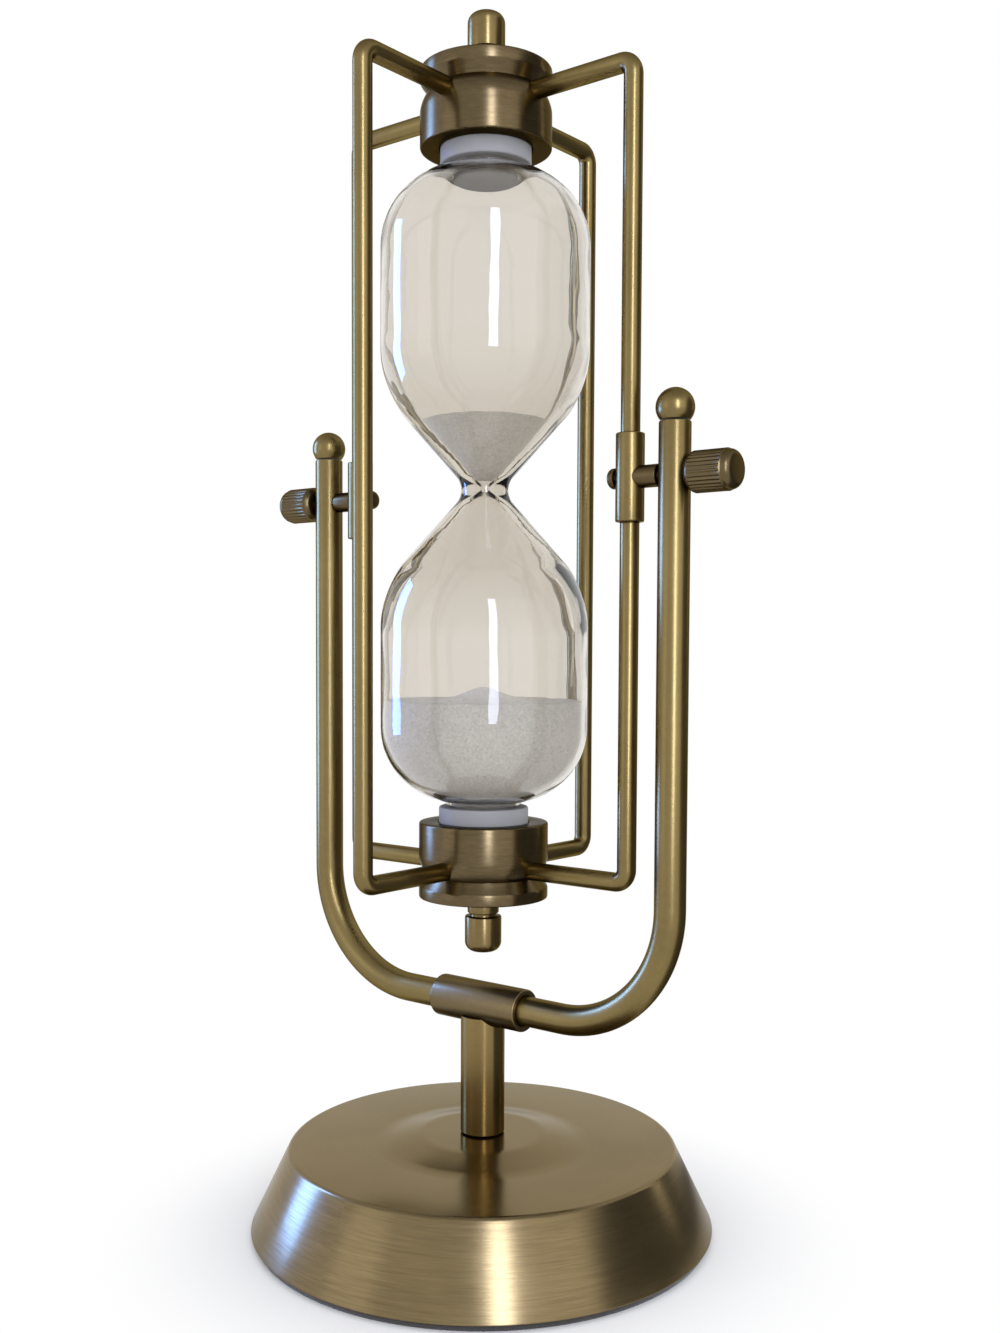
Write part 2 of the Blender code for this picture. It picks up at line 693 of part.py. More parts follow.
def between(outline, low, high):
    """The stretch of a rising outline from one height to another."""
    kept = []
    for (radius, height), (next_radius, next_height) in zip(outline, outline[1:]):
        for level in (low, high):
            if height < level <= next_height:
                share = (level - height) / (next_height - height)
                kept.append((radius + share * (next_radius - radius), level))
        if low < next_height < high:
            kept.append((next_radius, next_height))
    return sorted(kept, key=lambda point: point[1])


def flipped(outline):
    return [(radius, -height) for radius, height in reversed(outline)]


def make_glass(pivot):
    bore = PLUG_RADIUS + SEAT_GAP
    outer = bulb_outside()
    inner = [*bulb_inside(0.0, bore), (bore, GLASS_HALF_LENGTH)]
    outline = [*flipped(outer), *outer, *reversed(inner), *reversed(flipped(inner))]
    place("glass_vessel", turned_shape(outline, ROUND_SIDES, closed=True), GLASS, pivot)

    sand_wall = bulb_inside(SEAT_GAP, bore)
    upper = between(sand_wall, SAND_TIP, UPPER_SAND_LEVEL)
    upper = [(0.0, SAND_TIP), *upper, (0.0, UPPER_SAND_LEVEL - UPPER_SAND_DIP)]
    place("upper_sand", turned_shape(upper, SMALL_SIDES), SAND, pivot)

    floor = min(GLASS_HALF_LENGTH - PLUG_LENGTH, sand_wall[-1][1])
    lower = between(sand_wall, LOWER_SAND_LEVEL, floor)
    mound = [(0.0, LOWER_SAND_LEVEL - MOUND_HEIGHT), (MOUND_RADIUS, LOWER_SAND_LEVEL)]
    lower = [*mound, *lower, (0.0, floor)]
    place("lower_sand", turned_shape(flipped(lower), ROUND_SIDES), SAND, pivot)


clear_scene()
BRASS = finish("antique_brass", (0.42, 0.33, 0.17), 0.33, 1.0)
IRON = finish("cast_ballast", (0.12, 0.12, 0.12), 0.7, 1.0)
STEEL = finish("plated_steel", (0.6, 0.6, 0.58), 0.35, 1.0)
FELT = finish("dark_felt", (0.03, 0.028, 0.025), 0.95, 0.0)
GLASS = finish("clear_glass", (0.95, 0.96, 0.95), 0.02, 0.0, transmission=1.0)
PLASTIC = finish("pale_stopper_plastic", (0.72, 0.72, 0.74), 0.4, 0.0)
SAND = finish("white_sand", (0.82, 0.81, 0.79), 0.9, 0.0)
CUTTER = finish("cutting_helper", (0.8, 0.1, 0.1), 0.5, 0.0)

make_base()
make_yoke()
cage_pivot = empty("cage_pivot", (0, 0, PIVOT_HEIGHT))
make_pivots(cage_pivot)
make_knobs(cage_pivot)
make_rods(cage_pivot)
make_ends(cage_pivot)
make_glass(cage_pivot)
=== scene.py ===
"""Finished surfaces of a rotating hourglass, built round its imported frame."""

import json
import math

import bmesh
import bpy
from bpy.props import FloatProperty, FloatVectorProperty, IntProperty, PointerProperty
from bpy.types import Operator, Panel, PropertyGroup
from mathutils import Matrix, Vector, noise


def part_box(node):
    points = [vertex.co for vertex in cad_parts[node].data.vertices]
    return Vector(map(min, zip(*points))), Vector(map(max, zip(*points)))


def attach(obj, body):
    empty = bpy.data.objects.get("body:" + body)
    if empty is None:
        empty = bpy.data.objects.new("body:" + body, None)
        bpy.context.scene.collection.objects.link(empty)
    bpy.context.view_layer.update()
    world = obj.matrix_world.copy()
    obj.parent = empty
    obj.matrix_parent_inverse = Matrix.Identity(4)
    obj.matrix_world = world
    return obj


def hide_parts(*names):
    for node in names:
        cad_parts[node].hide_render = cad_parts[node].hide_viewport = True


bl_info = {
    "name": "Rotating Hourglass",
    "version": (1, 0, 0),
    "blender": (4, 5, 0),
    "location": "3D View > Sidebar > Hourglass",
    "description": "Builds the brass, glass and sand of a rotating hourglass round its frame",
    "category": "Add Mesh",
}

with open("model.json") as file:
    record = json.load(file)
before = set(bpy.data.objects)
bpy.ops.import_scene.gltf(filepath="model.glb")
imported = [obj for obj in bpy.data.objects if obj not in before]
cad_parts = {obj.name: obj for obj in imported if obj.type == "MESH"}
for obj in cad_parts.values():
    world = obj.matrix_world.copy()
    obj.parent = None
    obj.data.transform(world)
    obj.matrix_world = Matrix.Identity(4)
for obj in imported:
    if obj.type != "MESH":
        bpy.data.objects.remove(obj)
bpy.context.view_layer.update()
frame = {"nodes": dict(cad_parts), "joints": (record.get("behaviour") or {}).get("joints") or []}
PIVOT_HEIGHT = next(joint for joint in frame["joints"] if joint["name"] == "cage_turn")["pos_m"][2]
MM = 0.001
FULL_TURN = 2 * math.pi
QUARTER = math.pi / 2
OVER = Matrix.Rotation(math.pi, 4, "X")
SIDES = (("left", -1), ("right", 1))
MERGE_DISTANCE = 1e-7
SHARP_ANGLE = math.radians(32)
TOP_FACING = 0.85  # least rise of a normal on the base's smooth top
# A hub's mouth and recess get a dark bluish brass: painted shade.
MOUTH_DEPTH = 0.05 * MM  # faces this near a hub's open face are its mouth's
NOISE_RANGE = (0.3, 0.7)  # holds most of a noise texture's values
WHITE = (1.0, 1.0, 1.0, 1.0)

# Gaps between pieces
SEAT_GAP = 0.3 * MM
RUNNING_GAP = 0.1 * MM
TIGHT_GAP = 0.05 * MM

# Rounded edges, each with its steps
CRISP = (0.2 * MM, 2)
FINE = (0.3 * MM, 3)
SOFT = (0.35 * MM, 3)
ROUND = (0.5 * MM, 4)


def low(node):
    """A CAD node's lowest corner."""
    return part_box(node)[0]


def high(node):
    """A CAD node's highest corner."""
    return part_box(node)[1]


def reach(node):
    """How far a node in the cage stands above the pivot."""
    return high(node).z - PIVOT_HEIGHT


def start(node):
    """How far above the pivot a node in the cage begins."""
    return low(node).z - PIVOT_HEIGHT


def length(name, description, default):
    return FloatProperty(
        name=name, description=description, default=default, min=0.0, unit="LENGTH", precision=5
    )


def colour(name, description, default):
    return FloatVectorProperty(
        name=name, description=description, default=default, size=3, min=0.0, max=1.0, subtype="COLOR"
    )


def share(name, description, default):
    return FloatProperty(
        name=name, description=description, default=default, min=0.0, max=1.0, subtype="FACTOR"
    )


class HourglassFinish(PropertyGroup):
    """Colours and gloss."""

    brass: colour("Brass", "Antique brass where it is worn clean", (0.285, 0.216, 0.112))
    tarnish: colour("Tarnish", "Antique brass where it is dull", (0.115, 0.083, 0.040))
    edge: colour("Edge", "Tint of the brass seen at a low angle", (0.40, 0.38, 0.34))
    base_edge: colour("Base edge", "Tint of the base's brass seen at a low angle", (0.80, 0.76, 0.68))
    satin: share("Satin roughness", "Mean roughness of the rods' brass", 0.29)
    turned: share("Turned roughness", "Mean roughness of the hubs' and the stem's brass", 0.28)
    brushed: share("Brushed roughness", "Mean roughness of the base's flared side", 0.25)
    smooth: share("Smooth roughness", "Mean roughness of the base's top", 0.20)
    glass: colour("Glass", "Tint of the glass's surface", (0.860, 0.838, 0.803))
    glass_body: colour("Glass body", "Tint of light that runs through the glass", (0.70, 0.64, 0.52))
    sand: colour("Sand", "Mean colour of the grains", (0.90, 0.905, 0.915))
    stopper: colour("Stopper", "Grey plastic of the stoppers", (0.34, 0.335, 0.335))
    felt: colour("Felt", "Felt under the base", (0.022, 0.020, 0.018))


class HourglassBase(PropertyGroup):
    """The flared base and the stem on it."""

    foot: length("Foot radius", "Radius at the floor", high("base_shell").x)
    rim: length("Rim radius", "Radius of the flat top", 51.6 * MM)
    underside: length("Underside", "Height of the shell's lower edge", low("base_shell").z)
    top: length("Top", "Height of the flat top", 22.8 * MM)
    boss_top: length("Boss top", "Height of the raised centre", high("base_shell").z)
    boss: length("Boss radius", "Radius of the raised centre", 16.3 * MM)
    ogee: length("Ogee width", "Width of the slope round the raised centre", 10.7 * MM)
    wall: length("Wall", "Thickness of the pressed shell", 1.5 * MM)
    stem: length("Stem radius", "Radius of the stem", high("stem_post").x)
    stud: length("Stud radius", "Radius of the stud under the stem", 3.0 * MM)


class HourglassYoke(PropertyGroup):
    """The bent yoke rod, its sleeve and its ball ends."""

    rod: length("Rod radius", "Radius of the yoke rod", high("yoke_rod").y)
    bend: length("Bend radius", "Radius of the bends, at the rod's middle", 32.0 * MM)
    sleeve: length("Sleeve radius", "Radius of the sleeve on the stem", high("yoke_sleeve").y)
    ball: length("Ball radius", "Radius of the balls on the arms", high("right_ball_finial").y)
    ball_seat: length("Ball seat", "From a ball's middle to its flat", 2.9 * MM)


class HourglassCage(PropertyGroup):
    """Rods, sleeves, pivots and knobs."""

    rod: length("Rod radius", "Radius of the cage rods", high("right_upper_rod").y)
    corner: length("Corner radius", "Radius of the rods' corners, at their middle", 3.4 * MM)
    sleeve: length("Sleeve radius", "Radius of the rods' sleeves", high("right_rod_sleeve").y)
    screw: length("Screw radius", "Radius of the pivot screws", 1.5 * MM)
    screw_head: length("Screw head", "Radius of the pivot screws' heads", high("right_pivot_screw").y)
    spacer: length("Spacer radius", "Radius of the spacers by the arms", high("right_pivot_spacer").y)
    knob: length("Knob radius", "Radius over the knobs' ribs", 5.0 * MM)
    rib_depth: length("Rib depth", "Depth of the grooves between ribs", 0.32 * MM)
    ribs: IntProperty(name="Ribs", description="Ribs round each knob", default=30, min=8, max=80)


class HourglassEnds(PropertyGroup):
    """Hubs, finials and stoppers."""

    cup: length("Cup radius", "Radius of the hubs' cups", high("top_hub").x)
    waist: length("Waist radius", "Radius between cup and flange", 14.9 * MM)
    shoulder: length("Shoulder", "Height where the cup's wall meets its slope", 12.0 * MM)
    flange_foot: length("Flange foot", "Height where the flange's slope starts", 14.3 * MM)
    flange_rise: length("Flange rise", "Height of the flange's slope", 2.9 * MM)
    recess: length("Recess", "Depth of the seat for the stopper", 2.5 * MM)
    finial: length("Finial radius", "Radius of the finials", high("top_finial").x)
    finial_neck: length("Finial neck", "Radius of the ring under each finial", 4.2 * MM)
    stopper: length("Stopper radius", "Radius of the stoppers", high("top_stopper").x)
    plug: length("Plug radius", "Radius of the stoppers' plugs", 8.6 * MM)


class HourglassGlass(PropertyGroup):
    """The blown glass and the sand in it, measured from the waist."""

    bulb: length("Bulb radius", "Outer radius of the bulbs", high("glass_vessel").x)
    wall: length("Wall", "Thickness of the glass", 1.2 * MM)
    neck: length("Neck radius", "Outer radius at the waist", 6.2 * MM)
    cone: FloatProperty(
        name="Cone", description="Angle to the axis", default=math.radians(41.5), subtype="ANGLE"
    )
    cone_start: length("Cone start", "Height where the cones start", 2.0 * MM)
    rounding: length("Rounding", "Radius of the curve from cone to wall", 26.0 * MM)
    dome_start: length("Dome start", "Height where the domes start", 62.5 * MM)
    dome_top: length("Dome top", "Height of the domes' crowns", 82.5 * MM)
    dome_flat: length("Dome flat", "Radius of the domes' flat crowns", 7.0 * MM)
    collar: length("Collar radius", "Outer radius of the glass's mouths", 10.2 * MM)
    orifice: length("Orifice radius", "Radius of the hole the sand runs through", 0.9 * MM)
    orifice_half: length("Orifice half", "Half the length of that hole", 0.8 * MM)
    upper_level: length("Upper level", "Height of the upper sand", 18.6 * MM)
    lower_level: length("Lower level", "Depth of the lower sand", 55.3 * MM)
    mound: length("Mound", "Height of the heap on the lower sand", 3.4 * MM)


class HourglassSettings(PropertyGroup):
    """Everything a user may change."""

    finish: PointerProperty(type=HourglassFinish)
    base: PointerProperty(type=HourglassBase)
    yoke: PointerProperty(type=HourglassYoke)
    cage: PointerProperty(type=HourglassCage)
    ends: PointerProperty(type=HourglassEnds)
    glass: PointerProperty(type=HourglassGlass)


# Shapes


def outline(corners, closed=False):
    """A wire of (radius, height) corners, where a rounding adds its distance and its steps."""
    shape = bmesh.new()
    points = [shape.verts.new((corner[0], 0.0, corner[1])) for corner in corners]
    for pair in zip(points, points[1:]):
        shape.edges.new(pair)
    if closed:
        shape.edges.new((points[-1], points[0]))
    for point, corner in zip(points, corners):
        if len(corner) == 2:
            continue
        away, steps = corner[2:]
        bmesh.ops.bevel(
            shape, geom=[point], offset=away, segments=steps, profile=0.5, affect="VERTICES", material=-1
        )
    return shape


def turned(corners, steps, closed=False, place=None):
    """An outline spun about Z, then put in place."""
    shape = outline(corners, closed)
    wire = shape.verts[:] + shape.edges[:]
    bmesh.ops.spin(shape, geom=wire, axis=(0.0, 0.0, 1.0), angle=FULL_TURN, steps=steps, use_merge=True)
    if place:
        bmesh.ops.transform(shape, matrix=place, verts=shape.verts)
    return shape


def bent_bar(radius, begin, heading, moves, sides, bend_steps, place=None):
    """A round bar in the XZ plane, as straight runs of (length, bend radius, bend angle)."""
    edge = radius * 0.08
    tip = Vector(begin)
    heading = Vector(heading)
    across = Vector((0.0, 1.0, 0.0))
    shape = bmesh.new()
    facing = Matrix.Translation(tip) @ heading.to_track_quat("Z", "Y").to_matrix().to_4x4()
    bmesh.ops.create_circle(shape, cap_ends=True, segments=sides, radius=radius, matrix=facing)
    end = shape.verts[:] + shape.edges[:] + shape.faces[:]
    for run, bend_radius, bend in moves:
        end = bmesh.ops.extrude_face_region(shape, geom=end)["geom"]
        moved = [part for part in end if isinstance(part, bmesh.types.BMVert)]
        bmesh.ops.translate(shape, verts=moved, vec=heading * run)
        tip = tip + heading * run
        if bend == 0.0:
            continue
        centre = tip + heading.cross(across) * math.copysign(bend_radius, -bend)
        spun = bmesh.ops.spin(shape, geom=end, cent=centre, axis=across, angle=bend, steps=bend_steps)
        end = spun["geom_last"]
        swing = Matrix.Rotation(bend, 3, across)
        tip = centre + swing @ (tip - centre)
        heading = swing @ heading
    rims = [item for item in shape.edges if any(len(face.verts) == sides for face in item.link_faces)]
    bmesh.ops.bevel(shape, geom=rims, offset=edge, segments=2, profile=0.5, affect="EDGES", material=-1)
    if place:
        bmesh.ops.transform(shape, matrix=place, verts=shape.verts)
    return shape


def cylinder(radius, begin, end, sides=64):
    """A plain bar for cutting."""
    begin = Vector(begin)
    along = Vector(end) - begin
    place = Matrix.Translation(begin + along / 2) @ along.to_track_quat("Z", "Y").to_matrix().to_4x4()
    depth = along.length
    shape = bmesh.new()
    bmesh.ops.create_cone(
        shape, cap_ends=True, segments=sides, radius1=radius, radius2=radius, depth=depth, matrix=place
    )
    return shape


def to_mesh(name, shape):
    """A clean mesh from a shape, which is used up."""
    bmesh.ops.remove_doubles(shape, verts=shape.verts, dist=MERGE_DISTANCE)
    bmesh.ops.recalc_face_normals(shape, faces=shape.faces)
    mesh = bpy.data.meshes.new(name)
    shape.to_mesh(mesh)
    shape.free()
    return mesh


def carved(name, shape, cutter):
    """A mesh with the cutter's shape taken away."""
    work = bpy.data.objects.new(name, to_mesh(name, shape))
    helper = bpy.data.objects.new("cutter", to_mesh("cutter", cutter))
    for item in (work, helper):
        bpy.context.scene.collection.objects.link(item)
    modifier = work.modifiers.new("cut", "BOOLEAN")
    modifier.operation = "DIFFERENCE"
    modifier.solver = "EXACT"
    modifier.object = helper
    bpy.context.view_layer.update()
    mesh = bpy.data.meshes.new_from_object(work.evaluated_get(bpy.context.evaluated_depsgraph_get()))
    for item in (work, helper):
        bpy.data.objects.remove(item, do_unlink=True)
    return mesh


def add_piece(name, shape, material, body, slot, *nodes):
    """A finished piece that rides on a body and stands for CAD nodes."""
    mesh = to_mesh(name, shape) if isinstance(shape, bmesh.types.BMesh) else shape
    mesh.name = name
    mesh.materials.clear()
    mesh.materials.append(material)
    mesh.shade_smooth()
    mesh.set_sharp_from_angle(angle=SHARP_ANGLE)
    piece = bpy.data.objects.new(name, mesh)
    bpy.context.scene.collection.objects.link(piece)
    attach(piece, body)
    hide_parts(*nodes)
    return piece


def along_x(way, height):
    """Lays a shape spun about Z out along X, to the right or the left."""
    return Matrix.Translation((0.0, 0.0, height)) @ Matrix.Rotation(way * QUARTER, 4, "Y")


def at_end(side):
    """Puts a shape measured from the pivot at the cage's top, or turned over at its bottom."""
    turn = Matrix.Identity(4) if side == "top" else OVER
    return Matrix.Translation((0.0, 0.0, PIVOT_HEIGHT)) @ turn


# Materials


def look():
    """The colours and gloss in use."""
    return bpy.context.scene.hourglass.finish


def set_inputs(node, inputs):
    """Links or sets a shader node's sockets, by name or number."""
    for socket, value in inputs.items():
        if isinstance(value, bpy.types.NodeSocket):
            node.id_data.links.new(value, node.inputs[socket])
        else:
            node.inputs[socket].default_value = value


def add_node(tree, kind, inputs=None, **settings):
    """Adds a shader node with its settings and sockets."""
    node = tree.nodes.new(kind)
    for key, value in settings.items():
        setattr(node, key, value)
    set_inputs(node, inputs or {})
    return node


def maths(tree, operation, first, second):
    return add_node(tree, "ShaderNodeMath", {0: first, 1: second}, operation=operation).outputs[0]


def spread(tree, value, low_value, high_value, from_low=0.0, from_high=1.0):
    """A value mapped from one range to another."""
    inputs = {0: value, 1: from_low, 2: from_high, 3: low_value, 4: high_value}
    return add_node(tree, "ShaderNodeMapRange", inputs).outputs[0]


def object_point(tree):
    """The shaded point, measured from the piece's own origin."""
    return add_node(tree, "ShaderNodeTexCoord").outputs["Object"]


def noise_of(tree, vector, scale, detail=2.0, roughness=0.5):
    inputs = {"Vector": vector, "Scale": scale, "Detail": detail, "Roughness": roughness}
    return add_node(tree, "ShaderNodeTexNoise", inputs).outputs[0]


def tinted(base, times):
    """A colour with each part multiplied."""
    return tuple(part * by for part, by in zip(base, times))


def blended(tree, factor, first, second):
    """Two colours mixed by a factor."""
    inputs = {0: factor, 6: (*first, 1.0), 7: (*second, 1.0)}
    return add_node(tree, "ShaderNodeMix", inputs, data_type="RGBA").outputs[2]


def bump_of(tree, height, strength, distance):
    """A normal bent by a height."""
    inputs = {"Strength": strength, "Distance": distance, "Height": height}
    return add_node(tree, "ShaderNodeBump", inputs).outputs[0]


def new_material(name):
    """A material, with its node tree and main shader."""
    material = bpy.data.materials.new(name)
    material.use_nodes = True
    return material, material.node_tree, material.node_tree.nodes["Principled BSDF"]


def brushing(tree):
    """Coordinates in which noise makes fine lines round the upright axis."""
    turn_scale = 0.0016  # metres to a radian, so that lines are long
    side, front, along = add_node(tree, "ShaderNodeSeparateXYZ", {0: object_point(tree)}).outputs
    flat = add_node(tree, "ShaderNodeCombineXYZ", {0: side, 1: front}).outputs[0]
    radius = add_node(tree, "ShaderNodeVectorMath", {0: flat}, operation="LENGTH").outputs["Value"]
    angle = maths(tree, "MULTIPLY", maths(tree, "ARCTAN2", side, front), turn_scale)
    return add_node(tree, "ShaderNodeCombineXYZ", {0: radius, 1: along, 2: angle}).outputs[0]


def antique_brass(name, grain, strength, roughness, edge, tone):
    """Dull and worn brass, mixed by a grain and by clouds."""
    cloud_strength = 0.10
    gloss_change = 0.03
    material, tree, shader = new_material(name)
    streak = grain(tree)
    cloud = noise_of(tree, object_point(tree), scale=38.0, detail=3.0)
    streaks = spread(tree, streak, 0.5 - strength, 0.5 + strength, *NOISE_RANGE)
    clouds = spread(tree, cloud, -cloud_strength, cloud_strength, *NOISE_RANGE)
    clean = add_node(tree, "ShaderNodeClamp", {0: maths(tree, "ADD", streaks, clouds)}).outputs[0]
    inputs = {
        "Base Color": blended(tree, clean, tinted(look().tarnish, tone), tinted(look().brass, tone)),
        "Roughness": spread(tree, cloud, roughness - gloss_change, roughness + gloss_change, *NOISE_RANGE),
        "Metallic": 1.0,
        "Specular Tint": (*edge, 1.0),
    }
    set_inputs(shader, inputs)
    return material, tree, shader, streak


def brushed_brass(name, strength, roughness, stretch, edge, tone=(1.0, 1.0, 1.0)):
    """Brass brushed round the upright axis."""

    def grain(tree):
        lines = brushing(tree)
        fine = maths(tree, "MULTIPLY", noise_of(tree, lines, scale=4600.0, roughness=0.6), 0.65)
        broad = maths(tree, "MULTIPLY", noise_of(tree, lines, scale=1300.0), 0.35)
        return maths(tree, "ADD", fine, broad)

    material, tree, shader, streak = antique_brass(name, grain, strength, roughness, edge, tone)
    inputs = {
        "Normal": bump_of(tree, streak, strength=strength * 0.26, distance=0.04 * MM),
        "Anisotropic": stretch,
        "Anisotropic Rotation": 0.25,
        "Tangent": add_node(tree, "ShaderNodeTangent", direction_type="RADIAL", axis="Z").outputs[0],
    }
    set_inputs(shader, inputs)
    return material


def satin_brass(name, tone=(1.08, 1.07, 0.84)):
    """Smooth brass with a faint grain."""

    def grain(tree):
        return noise_of(tree, object_point(tree), scale=700.0, detail=3.0, roughness=0.6)

    return antique_brass(name, grain, 0.05, look().satin, look().edge, tone)[0]


def blown_glass():
    """Clear glass with slow ripples, which tints light the further it runs in it."""
    material, tree, shader = new_material("blown_glass")
    ripple = noise_of(tree, object_point(tree), scale=70.0, detail=1.0)
    inputs = {
        "Base Color": (*look().glass, 1.0),
        "Roughness": 0.0,
        "IOR": 1.47,
        "Transmission Weight": 1.0,
        "Normal": bump_of(tree, ripple, strength=0.18, distance=2.0 * MM),
    }
    set_inputs(shader, inputs)
    inputs = {"Color": (*look().glass_body, 1.0), "Density": 100.0}
    body = add_node(tree, "ShaderNodeVolumeAbsorption", inputs).outputs[0]
    tree.links.new(body, tree.nodes["Material Output"].inputs["Volume"])
    return material


def loose_sand():
    """Fine pale grains, each with its own shade and gloss."""
    material, tree, shader = new_material("white_sand_grains")
    spot = object_point(tree)
    grains = add_node(tree, "ShaderNodeTexVoronoi", {"Vector": spot, "Scale": 2300.0}).outputs
    drift = noise_of(tree, spot, scale=160.0, detail=3.0)
    tint = add_node(tree, "ShaderNodeSeparateXYZ", {0: grains["Color"]}).outputs[0]
    grey = maths(tree, "ADD", maths(tree, "MULTIPLY", tint, 0.7), maths(tree, "MULTIPLY", drift, 0.3))
    dark, pale = (tinted(look().sand, [times] * 3) for times in (0.80, 1.09))
    inputs = {
        "Base Color": blended(tree, grey, dark, pale),
        "Roughness": spread(tree, tint, 0.25, 0.9),
        "Normal": bump_of(tree, grains["Distance"], strength=0.3, distance=0.2 * MM),
    }
    set_inputs(shader, inputs)
    return material


def pale_plastic():
    """Grey moulded plastic that lets a little light in."""
    material, tree, shader = new_material("pale_stopper_plastic")
    spot = object_point(tree)
    cloud = noise_of(tree, spot, scale=240.0, detail=3.0)
    pores = noise_of(tree, spot, scale=1500.0)
    inputs = {
        "Base Color": blended(tree, cloud, tinted(look().stopper, [0.93] * 3), look().stopper),
        "Roughness": spread(tree, cloud, 0.52, 0.66),
        "Specular IOR Level": 0.2,
        "Subsurface Weight": 0.35,
        "Subsurface Radius": (1.5 * MM, 1.5 * MM, 1.6 * MM),
        "Subsurface Scale": 1.0,
        "Normal": bump_of(tree, pores, strength=0.08, distance=0.1 * MM),
    }
    set_inputs(shader, inputs)
    return material


def dark_felt():
    """Dark felt with paler fuzz."""
    material, tree, shader = new_material("dark_felt")
    fuzz = noise_of(tree, object_point(tree), scale=2400.0, detail=4.0, roughness=0.7)
    inputs = {
        "Base Color": blended(tree, fuzz, look().felt, tinted(look().felt, [2.4] * 3)),
        "Roughness": 0.95,
        "Sheen Weight": 0.4,
        "Normal": bump_of(tree, fuzz, strength=0.7, distance=0.4 * MM),
    }
    set_inputs(shader, inputs)
    return material


def plain_metal(name, dark, pale, scale, roughness, depth):
    """Cast iron and plated steel inside the base."""
    gloss_change = 0.1
    material, tree, shader = new_material(name)
    grain = noise_of(tree, object_point(tree), scale, detail=4.0, roughness=0.6)
    inputs = {
        "Base Color": blended(tree, grain, dark, pale),
        "Roughness": spread(tree, grain, roughness - gloss_change, roughness + gloss_change),
        "Metallic": 1.0,
        "Normal": bump_of(tree, grain, strength=0.5, distance=depth),
    }
    set_inputs(shader, inputs)
    return material


def paint_node(node, material):
    """Gives a CAD node that stays its material."""
    mesh = frame["nodes"][node].data
    mesh.materials.clear()
    mesh.materials.append(material)


# Operators


class HOURGLASS_OT_base(Operator):
    """Flared base dish, felt disc and the ballast inside"""

    bl_idname = "hourglass.base"
    bl_label = "Base"

    def execute(self, context):
        size = context.scene.hourglass.base
        boss_edge = 1.2 * MM
        ogee_edge = 2.4 * MM
        rim_edge = 0.9 * MM
        foot_edge = 0.5 * MM
        inner_edge = 2.0 * MM
        hole = size.stud + SEAT_GAP
        slope = (size.foot - size.rim) / (size.top - size.underside)
        wall = size.wall * math.hypot(1.0, slope)
        ceiling = size.top - size.wall
        inner_rim = size.rim + slope * size.wall - wall
        profile = [
            (hole, size.boss_top),
            (size.boss, size.boss_top, boss_edge, 6),
            (size.boss + size.ogee, size.top, ogee_edge, 8),
            (size.rim, size.top, rim_edge, 5),
            (size.foot, size.underside, foot_edge, 3),
            (size.foot - wall, size.underside),
            (inner_rim, ceiling, inner_edge, 3),
            (size.boss + size.ogee, ceiling, ogee_edge, 4),
            (size.boss, size.boss_top - size.wall, boss_edge, 3),
            (hole, size.boss_top - size.wall),
        ]
        dish = turned(profile, steps=192, closed=True)
        brass = brushed_brass("base_brass", 0.23, look().brushed, 0.55, look().base_edge)
        shell = add_piece("base_dish", dish, brass, "stand", "brass", "base_shell").data
        top_brass = brushed_brass("base_top_brass", 0.05, look().smooth, 0.25, look().base_edge)
        shell.materials.append(top_brass)
        for face in shell.polygons:
            face.material_index = int(face.normal.z > TOP_FACING)

        radius = high("felt_pad").x
        top = high("felt_pad").z
        felt = turned([(0.0, 0.0), (radius, 0.0, *FINE), (radius, top, *FINE), (0.0, top)], steps=128)
        add_piece("felt_disc", felt, dark_felt(), "stand", "felt", "felt_pad")

        iron = plain_metal("ballast_iron", (0.05, 0.05, 0.05), (0.16, 0.155, 0.15), 420.0, 0.65, 0.6 * MM)
        steel = plain_metal("plated_steel", (0.42, 0.42, 0.41), (0.62, 0.62, 0.60), 900.0, 0.32, 0.05 * MM)
        paint_node("base_weight", iron)
        paint_node("base_washer", steel)
        paint_node("base_nut", steel)
        return {"FINISHED"}


class HOURGLASS_OT_stem(Operator):
    """Stem with a saddle for the yoke's sleeve"""

    bl_idname = "hourglass.stem"
    bl_label = "Stem"

    def execute(self, context):
        size = context.scene.hourglass.base
        foot = size.boss_top + SEAT_GAP
        stud_end = low("stem_post").z
        top = high("stem_post").z
        profile = [
            (0.0, stud_end),
            (size.stud, stud_end),
            (size.stud, foot),
            (size.stem, foot, *SOFT),
            (size.stem, top),
            (0.0, top),
        ]
        post = turned(profile, steps=72)
        middle = (low("yoke_sleeve").z + high("yoke_sleeve").z) / 2
        half = high("yoke_sleeve").x
        radius = context.scene.hourglass.yoke.sleeve + RUNNING_GAP
        saddle = cylinder(radius, (-half, 0.0, middle), (half, 0.0, middle), sides=96)
        # The stem's brass is toned brighter and more golden than the base's; the brightening is painted
        # light, for its reflection on the base's top.
        brass = brushed_brass("stem_brightened_brass", 0.06, look().turned, 0.70, look().edge, (1.20, 1.14, 0.90))
        add_piece("stem", carved("stem", post, saddle), brass, "stand", "brass", "stem_post")
        return {"FINISHED"}


